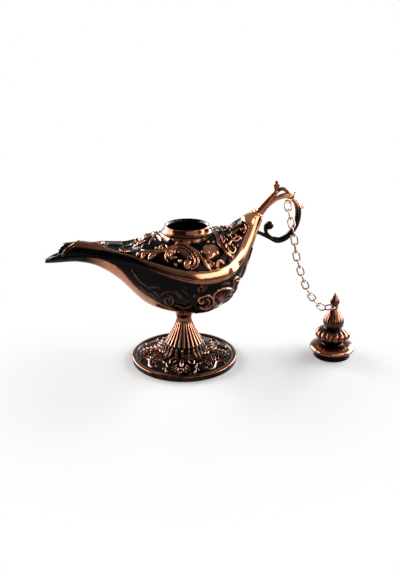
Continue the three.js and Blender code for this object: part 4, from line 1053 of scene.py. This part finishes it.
# %% Foot
lip = step_up(22.2, 22.7, radius) * step_up(1.9, 2.5, height)
crest = 0.38 + 0.40 * step_up(15.0, 20.0, height)
flute_rub = 0.01 + 0.09 * step_up(0.45, 0.88, ridge) + crest * step_up(0.89, 0.99, ridge)
rub_and_sheen = 0.02 + 0.38 * step_up(0.2, 0.9, relief / 0.65)
rub_and_sheen = np.maximum(rub_and_sheen, 0.34 * lip)
rub_and_sheen = np.maximum(rub_and_sheen, flute_share * flute_rub)
rub_and_sheen = np.maximum(rub_and_sheen, 0.56 * step_up(22.0, 22.6, height))
rub_and_sheen = np.where(height < 1.9, 0.16, rub_and_sheen)
piece("foot_casting", raised, tube_faces(len(foot_profile), FOOT_COLUMNS), "pedestal_foot", rub_and_sheen)

# %% [markdown]
# ## Stopper
# The stopper is a broad rim, a lobed knob and a fluted bud with a leaf-shaped tip, cast in one. It is turned like the
# foot, and each lobed part has a share that is 1 at its own height and 0 elsewhere, so that its lobes fade out
# before the next part starts.

# %% Stopper form
STOPPER_AXIS = (70.0, 3.5)
CAP_LOW = 3.25
KNOB_LOBES, TIP_LEAVES = 16, 4
STOPPER_COLUMNS = 360

profile = turned(
    [(6.75, 1.3), (6.75, CAP_LOW), (9.4, CAP_LOW + 0.05), (10.35, CAP_LOW + 0.6), (10.5, CAP_LOW + 1.15),
     (10.1, CAP_LOW + 2.0), (9.0, CAP_LOW + 2.6), (7.6, 6.2), (5.4, 6.35), (4.75, 6.6), (6.2, 8.1), (7.7, 9.7),
     (8.2, 11.1), (7.9, 12.3), (6.5, 13.5), (4.6, 14.3), (4.15, 14.75), (4.5, 15.6), (4.9, 17.4), (4.35, 19.4),
     (3.05, 21.7), (1.95, 23.8), (1.55, 24.95), (1.8, 26.0), (2.2, 26.9), (1.95, 28.2), (1.3, 29.7), (0.55, 31.1),
     (0.05, 31.75)],
    190, corners=(1, 8, 15),
)
turn = full_turn(STOPPER_COLUMNS)[None]
radius, height = profile[:, :1], profile[:, 1:]
lobe = np.abs(np.cos(KNOB_LOBES * turn / 2)) ** 0.7
leaf = np.abs(np.cos(TIP_LEAVES * turn / 2)) ** 0.8
knob_share = step_up(6.5, 7.6, height) * step_up(14.6, 13.6, height)
bud_share = step_up(15.0, 16.2, height) * step_up(23.6, 21.0, height)
tip_share = step_up(26.2, 27.2, height)
shaped = radius * (1 - 0.09 * knob_share * (1 - lobe) - 0.05 * bud_share * (1 - lobe) - 0.16 * tip_share * (1 - leaf))
print("stopper:", tidy(height.max()), "mm high")

# %% Stopper
crease = np.maximum(knob_share, 0.45 * bud_share) * (1 - step_up(0.1, 0.6, lobe))
rub_and_sheen = 0.34 + 0.20 * step_up(6.4, 5.9, height) - 0.06 * bud_share - 0.34 * crease - 0.30 * tip_share * (1 - leaf)
rub_and_sheen = rub_and_sheen - 0.5 * bell(6.4, 0.7, height) * step_up(7.6, 6.0, radius) - 0.5 * bell(14.6, 0.55, height)
points = swept(shaped, height, turn, STOPPER_AXIS)
faces = tube_faces(len(profile), STOPPER_COLUMNS)
stopper = piece("stopper_casting", points, faces, "stopper_cap", rub_and_sheen, "stopper")

# %% [markdown]
# ## Stopper eye
# A hole is drilled through the waist for the chain's last ring. It runs across the rows and columns, so leaving
# quads out would make a ragged edge. A Boolean with a round bar cuts it clean. The result is kept as the mesh, and
# the bar is thrown away.

# %% Stopper eye
EYE_HEIGHT = 24.93
EYE_RADIUS = 0.884
DRILL_REACH = 4.0

turn = full_turn(48)
bar_end = [STOPPER_AXIS[0] + EYE_RADIUS * np.cos(turn), 0 * turn, EYE_HEIGHT + EYE_RADIUS * np.sin(turn)]
drill_ends = [STOPPER_AXIS[1] - DRILL_REACH, STOPPER_AXIS[1] + DRILL_REACH]
drill_points = np.concatenate([np.stack(bar_end, -1) + [0, end, 0] for end in drill_ends])
drill_mesh = bpy.data.meshes.new("drill")
drill_mesh.from_pydata((drill_points * MM).tolist(), [], [face[::-1] for face in tube_faces(2, len(turn))])
drill_mesh.polygons.foreach_set("use_smooth", np.ones(len(drill_mesh.polygons), bool))
drill = bpy.data.objects.new("drill", drill_mesh)
bpy.context.scene.collection.objects.link(drill)
cut = stopper.modifiers.new("eye", "BOOLEAN")
cut.operation, cut.object, cut.solver = "DIFFERENCE", drill, "EXACT"
pierced = bpy.data.meshes.new_from_object(stopper.evaluated_get(bpy.context.evaluated_depsgraph_get()))
stopper.modifiers.remove(cut)
stopper.data = pierced
bpy.data.objects.remove(drill)
print("stopper pierced:", len(pierced.vertices), "points", len(pierced.polygons), "faces")

# %% [markdown]
# ## Plug
# Below the rim a dark ring fits the mouth. It is turned like the mouth ring, from a profile that closes on itself,
# and it is nearly black all over.

# %% Plug
PLUG_COLUMNS = 120

profile = turned([(7.0, 0), (8.3, 0), (8.6, 0.3), (8.6, 3.0), (7.0, 3.0), (7.0, 0)], 60, corners=(1, 2, 3, 4))[:-1]
points = swept(profile[:, :1], profile[:, 1:], full_turn(PLUG_COLUMNS)[None], STOPPER_AXIS)
faces = ring_faces(len(profile), PLUG_COLUMNS)
piece("stopper_seal", points, faces, "stopper_plug", 0.04, "stopper")

# %% [markdown]
# ## Handle
# The handle grows from the neck as a tapered horn with a bud on its tip. A reeded bar leaves the horn's back, goes
# round in a loop and comes to rest on the neck, and a volute with a ball branches off inside it. A Blender curve with
# a bevel makes such bars too, but its section can't taper in width and depth apart, or be grooved. So each bar is a
# ring of points carried along a line in the lamp's middle plane.

# %% Bars
ACROSS = np.array([0.0, 1.0, 0.0])


def bar(line, wide, deep, sides=28, grooves=0.0):
    """A bar of oval section along a line in the XZ plane, and how deep each point lies in one of its grooves. Two
    grooves run along each of its flanks."""
    along = np.gradient(line, axis=0)
    along /= np.linalg.norm(along, axis=1, keepdims=True)
    sideways = np.cross(ACROSS, along)
    wide, deep = np.broadcast_to(wide, len(line)), np.broadcast_to(deep, len(line))
    turn = full_turn(sides)
    cut = bell(0.42, 0.13, np.abs(np.cos(turn)))
    size = 1 - grooves * cut
    points = (
        line[:, None]
        + sideways[:, None] * (np.cos(turn) * size)[None, :, None] * wide[:, None, None]
        + ACROSS * (np.sin(turn) * size)[None, :, None] * deep[:, None, None]
    )
    return points, cut


def stood(profile, foot, way, sides=40):
    """A turned profile that stands at a point and points along a direction in the middle plane."""
    turn = full_turn(sides)[None, :, None]
    side = np.cross(ACROSS, way)
    radius, height = profile[:, :1, None], profile[:, 1:, None]
    return foot + way * height + side * radius * np.cos(turn) + ACROSS * radius * np.sin(turn)


def joined(parts):
    """Several closed tubes as one mesh: their points, faces and rub in a row."""
    points, faces, rub_and_sheen, start = [], [], [], 0
    for grid, mark in parts:
        rows, columns = grid.shape[:2]
        points.append(grid.reshape(-1, 3))
        faces += [[start + i for i in face] for face in tube_faces(rows, columns)]
        rub_and_sheen.append(np.broadcast_to(mark, (rows, columns)).ravel())
        start += rows * columns
    return np.vstack(points), faces, np.concatenate(rub_and_sheen)


print("a bar of 5 rows:", bar(np.linspace([0, 0, 0], [4, 0, 0], 5), 0.8, 0.8)[0].shape)

# %% Neck end
neck_keel, neck_crown = on_body(LOWER, [(LAST_STATION, 1.0)])[0], on_body(UPPER, [(LAST_STATION, 1.0)])[0]
neck_middle = (neck_keel + neck_crown) / 2
neck_radius = np.linalg.norm(neck_crown - neck_keel) / 2
neck_up = (neck_crown - neck_keel) / (2 * neck_radius)
neck_way = np.cross(ACROSS, neck_up)
UPRIGHT = np.array([0.0, 0.0, 1.0])


def on_horn(out, back):
    """A point beside the horn: so far out from the neck's end, and so far behind the horn's axis."""
    return neck_middle + neck_way * out - neck_up * back


def middle_plane(*spots):
    """Points of the middle plane, from x and the height above the bowl's seat."""
    return [np.array([x, 0, z + BODY_SEAT]) for x, z in spots]


print("neck's end at", neck_middle.round(2), "radius", tidy(neck_radius), "mm")

# %% Loop
LOOP_STEPS = 150

rest_keel = on_body(LOWER, [(11.9, 1.0), (12.0, 1.0), (12.1, 1.0)])
rest_along = (rest_keel[2] - rest_keel[0]) / np.linalg.norm(rest_keel[2] - rest_keel[0])
loop_start = [on_horn(3.0, 1.15), on_horn(7.6, 1.5), on_horn(11.0, 2.3)]
loop_round = middle_plane(
    (46.4, 54.0), (49.6, 50.8), (50.6, 46.2), (49.9, 41.4), (47.6, 37.1), (45.0, 34.6), (41.8, 33.6), (38.4, 35.0)
)
loop_points = loop_start + loop_round + [rest_keel[1] - np.cross(rest_along, ACROSS) * 0.1]
share = np.linspace(0, 1, LOOP_STEPS)
loop_wide = 0.8 + 0.55 * step_up(0, 0.3, share) - 0.55 * step_up(0.75, 1, share)
loop_deep = 0.8 + 0.60 * step_up(0, 0.3, share) - 0.60 * step_up(0.75, 1, share)
loop, loop_cut = bar(even_line(loop_points, LOOP_STEPS), loop_wide, loop_deep, 48, 0.16)
# The loop is bright copper for about its first third and dark after that, with darker grooves. Its bright start is
# partly a painted reflection of the white room.
loop_rub_and_sheen = 0.90 - 0.74 * step_up(0.28, 0.5, share)[:, None] - 0.5 * loop_cut

thorn_before, thorn_at = even_line(loop_points, LOOP_STEPS + 1)[[60, 63]]
thorn_along = (thorn_at - thorn_before) / np.linalg.norm(thorn_at - thorn_before)
thorn_profile = turned([(0.9, 0.2), (0.85, 1.0), (0.55, 2.0), (0.25, 2.7), (0.04, 2.95)], 24)
thorn = stood(thorn_profile, thorn_at, np.cross(thorn_along, ACROSS))
print("loop ends at", loop_points[-1].round(2), "mm")

# %% Volute
BALL_RADIUS = 1.9

strand_line = even_line([on_horn(11.8, 0)] + middle_plane((43.0, 57.0), (45.4, 55.9), (47.0, 53.4)), 50)
strand = bar(strand_line, 0.8, 0.8)[0]
rib = bar(even_line([on_horn(0.3, 1.65), on_horn(2.2, 1.5), on_horn(4.4, 1.35)], 24), 0.75, 0.75)[0]
volute_line = even_line(middle_plane((43.0, 33.7), (39.4, 34.6), (36.9, 37.3), (36.6, 40.4), (37.9, 41.4)), 70)
volute, volute_cut = bar(volute_line, np.linspace(1.15, 0.8, 70), 1.12, 48, 0.14)
half_turn = np.linspace(-np.pi / 2, np.pi / 2, 26)[1:-1]
ball_profile = np.stack([BALL_RADIUS * np.cos(half_turn), BALL_RADIUS * np.sin(half_turn)], 1)
ball = stood(ball_profile, middle_plane((38.1, 40.5))[0], UPRIGHT)
print("volute ends at", volute_line[-1].round(2), "mm")

# %% Horn and bud
horn_profile = turned(
    [(0.95, -2.4), (0.95, 0.25), (1.93, 0.25), (1.93, 1.55), (1.95, 1.85), (1.62, 6.5), (1.18, 11.4), (1.0, 13.0),
     (0.6, 13.4), (0.1, 13.5)],
    70, corners=(1, 2, 3, 4),
)
bud_profile = turned(
    [(0.1, -1.0), (0.75, -0.4), (0.86, 0.5), (1.0, 1.2), (1.35, 2.7), (1.2, 3.7), (0.75, 4.3), (0.1, 4.6)], 44
)
horn = stood(horn_profile, neck_middle, neck_way)
bud = stood(bud_profile, on_horn(13.0, 0), UPRIGHT)
# The rib on the horn's back is bright copper that also stands in for a painted reflection of the white room.
points, faces, rub_and_sheen = joined([
    (horn, 0.55), (bud, 0.45), (loop, loop_rub_and_sheen), (rib, 0.90), (strand, 0.30), (volute, 0.14 - 0.2 * volute_cut),
    (ball, 0.10), (thorn, 0.80),
])
piece("scroll_handle", points, faces, "handle_scroll", rub_and_sheen)

# %% [markdown]
# ## Ferrule
# A thin bright ring hides the joint between neck and handle. A torus would do, but it is an oval in section, so it is
# turned like the other rings and stood on the neck's end.

# %% Ferrule
BEAD_STEPS, FERRULE_COLUMNS = 24, 60

bead_turn = full_turn(BEAD_STEPS)
bead_profile = np.stack([neck_radius + 0.22 * np.cos(bead_turn), 0.70 + 0.36 * np.sin(bead_turn)], 1)
points = stood(bead_profile, neck_middle, neck_way, FERRULE_COLUMNS)
piece("neck_ring", points, ring_faces(BEAD_STEPS, FERRULE_COLUMNS), "neck_ferrule", 0.95)

# %% [markdown]
# ## Chain
# The chain is small: fifteen oval links of thin wire, bent and closed, between two rings. One link could be copied
# along a path, but here each has a body and a hinge of its own. So each link lies on the axes of its CAD solid, which
# the three main directions of its points give, and gets a round wire in place of the six-sided one.


# %% Link axes
def solid_axes(node):
    """Middle and main directions of a CAD solid: the longest first, and the flat side's normal last."""
    mesh = frame["nodes"][node].data
    points = np.empty(len(mesh.vertices) * 3, np.float32)
    mesh.vertices.foreach_get("co", points)
    points = points.reshape(-1, 3).astype(float) / MM
    axes = np.linalg.svd(points - points.mean(0), full_matrices=False)[2]
    spread = (points - points.mean(0)) @ axes.T
    middle = points.mean(0) + ((spread.max(0) + spread.min(0)) / 2) @ axes
    return middle, axes


LINK_NAMES = [f"link_{i:02d}" for i in range(1, 16)]
solids = {name: solid_axes(name) for name in [*LINK_NAMES, "top_ring", "end_ring"]}
pitches = [np.linalg.norm(solids[a][0] - solids[b][0]) for a, b in zip(LINK_NAMES, LINK_NAMES[1:])]
print("pitch:", tidy(np.mean(pitches)), "mm")

# %% Chain
WIRE = 0.32
LINK_BEND = 1.35
LINK_PLAY = 0.27
RING_BENDS = {"top_ring": 2.7, "end_ring": 2.8}
LOOP_ROWS, WIRE_SIDES = 56, 14


def wire_loop(middle, axes, straight, bend):
    """A round wire along an oval: a circle of the bend's radius, whose halves lie apart by the straight sides."""
    turn, wire_turn = full_turn(LOOP_ROWS), full_turn(WIRE_SIDES)[None, :, None]
    reach = np.stack([bend * np.sin(turn) + straight * np.tanh(9 * np.sin(turn)), bend * np.cos(turn)], 1)
    line = middle + reach @ axes[:2]
    along = np.roll(line, -1, 0) - np.roll(line, 1, 0)
    along /= np.linalg.norm(along, axis=1, keepdims=True)
    sideways = np.cross(axes[2], along)
    return line[:, None] + WIRE * (sideways[:, None] * np.cos(wire_turn) + axes[2] * np.sin(wire_turn))


link_length = np.mean(pitches) + 2 * (2 * WIRE) + LINK_PLAY
for name, (middle, axes) in solids.items():
    straight = link_length / 2 - WIRE - LINK_BEND if name in LINK_NAMES else 0
    points = wire_loop(middle, axes, straight, RING_BENDS.get(name, LINK_BEND))
    piece(f"{name}_wire", points, ring_faces(LOOP_ROWS, WIRE_SIDES), name, 0.62, name, chain_copper)
print("link:", tidy(link_length), "mm long")

# %% [markdown]
# ## Screw
# The screw and its washer hold the foot from inside the bowl. They hardly show, so the CAD solids stay as they are
# and only get a material: plain steel, with soft streaks so that it doesn't look new.

# %% Screw
steel = Finish("brushed_steel", Metallic=1.0)
streaks = steel.cloud(0.5)
grey = steel.mix(streaks, (0.42, 0.42, 0.41, 1), (0.58, 0.57, 0.55, 1))
steel.wear(Base_Color=grey, Roughness=0.28 + streaks * 0.2)
for node in ("foot_screw", "screw_washer"):
    frame["nodes"][node].data.materials.clear()
    frame["nodes"][node].data.materials.append(steel.material)
print("steel on the screw and its washer")

# %% [markdown]
# ## Floor
# The photograph shows the lamp on plain white. A real white sheet would throw so much light up that the copper would
# lose its dark sides. So the sheet is a grey one that takes the shadow, and what the camera and mirrors see of it
# fades to glowing white away from the lamp.


# %% Floor
def ray_kinds(nodes):
    """1 for a ray straight from the camera, and 1 for a ray by way of a mirror or glass."""
    rays = nodes.node("ShaderNodeLightPath").outputs
    mirrored = Value(nodes, rays["Is Glossy Ray"]) + Value(nodes, rays["Is Transmission Ray"])
    return Value(nodes, rays["Is Camera Ray"]), mirrored


FLOOR_HALF = 3.0
SHADOW_SHARE = 0.85
floor_mesh = bpy.data.meshes.new("floor")
corners = np.array([(-1, -1, 0), (1, -1, 0), (1, 1, 0), (-1, 1, 0)]) * FLOOR_HALF
floor_mesh.from_pydata(corners.tolist(), [], [(0, 1, 2, 3)])
floor = bpy.data.objects.new("floor", floor_mesh)
bpy.context.scene.collection.objects.link(floor)

paper = Finish("white_floor", Roughness=0.9, Specular_IOR_Level=0.0)
paper.put(paper.shader.inputs["Base Color"], (0.32, 0.32, 0.32, 1))
direct, mirrored = ray_kinds(paper)
away = Value(paper, paper.node("ShaderNodeVectorMath", {"operation": "LENGTH"}, {0: paper.place}).outputs["Value"])
near_white = (1 - SHADOW_SHARE) + away.between(0.05, 0.13) * SHADOW_SHARE
far_white = (1 - SHADOW_SHARE) + away.between(0.14, 0.5) * SHADOW_SHARE
glow = paper.node("ShaderNodeEmission", None, {"Color": (1, 1, 1, 1), "Strength": 1 - mirrored * 0.25})
white = direct * near_white + mirrored * far_white
blend = paper.node("ShaderNodeMixShader", None, {0: white, 1: paper.shader.outputs[0], 2: glow.outputs[0]})
paper.put(paper.tree.nodes["Material Output"].inputs["Surface"], blend.outputs[0])
floor_mesh.materials.append(paper.material)
print("floor:", 2 * FLOOR_HALF, "m wide")

# %% [markdown]
# ## Room
# Bare metal shows the room it stands in. The backdrop behind the lamp is white, the side of the camera is nearly dark
# low down, and the ceiling is a dim grey. That is what draws dark middles and pale edges on everything round. A
# picture of a studio could be wrapped round the scene, but a few levels that blend into each other are easier to set.

# %% World
FRONT_LEVEL, BACK_LEVEL, CEILING_LEVEL, HIGH_FRONT_LEVEL = 0.08, 0.40, 0.34, 0.32

world = bpy.data.worlds.new("studio")
bpy.context.scene.world = world
world.use_nodes = True
room = Nodes(world.node_tree)
direction = room.node("ShaderNodeTexCoord").outputs["Generated"]
way = room.node("ShaderNodeSeparateXYZ", None, {0: direction}).outputs
behind = Value(room, way["Y"]).between(-0.5, 0.5)
climb = Value(room, way["Z"])
low_level = FRONT_LEVEL + behind * (BACK_LEVEL - FRONT_LEVEL)
high_level = HIGH_FRONT_LEVEL + behind * (CEILING_LEVEL - HIGH_FRONT_LEVEL)
level = low_level + climb.between(0.25, 0.7) * (high_level - low_level)
backdrop = Value(room, way["Y"]).between(0.45, 0.8) * (1 - climb.between(0.2, 0.5))
direct, mirrored = ray_kinds(room)
room.put(room.tree.nodes["Background"].inputs["Color"], (1, 1, 1, 1))
room.put(room.tree.nodes["Background"].inputs["Strength"], level + (1 - level) * (direct + mirrored * backdrop))
print("room:", len(world.node_tree.nodes), "nodes")

# %% [markdown]
# ## Lights
# Two broad soft lights stand at the sides, a little behind the lamp, as a product studio has them. They give the pale
# edges. Two weak ones in front, on the right, keep the near side readable. Spot lights would be harsher: on copper
# they show as hard points.

# %% Lights
CENTRE = (0.0, 0.0, 0.04)


def soft_light(name, place, size, power):
    """A rectangular soft light that faces the middle of the lamp."""
    light = bpy.data.lights.new(name, "AREA")
    light.shape, light.size, light.size_y, light.energy = "RECTANGLE", size[0], size[1], power
    lamp = bpy.data.objects.new(name, light)
    lamp.location = place
    lamp.rotation_mode = "QUATERNION"
    lamp.rotation_quaternion = (Vector(CENTRE) - Vector(place)).to_track_quat("-Z", "Y")
    bpy.context.scene.collection.objects.link(lamp)
    print(name, power, "W")


soft_light("left_soft_light", (-0.83, 0.34, 0.32), (1.3, 0.60), 48)
soft_light("right_soft_light", (0.83, 0.36, 0.32), (1.3, 0.60), 48)
soft_light("front_soft_light", (0.45, -0.82, 0.40), (1.1, 0.42), 4)
soft_light("right_front_soft_light", (0.66, -0.36, 0.60), (0.60, 0.42), 3)
bpy.context.scene.view_settings.view_transform = "Standard"
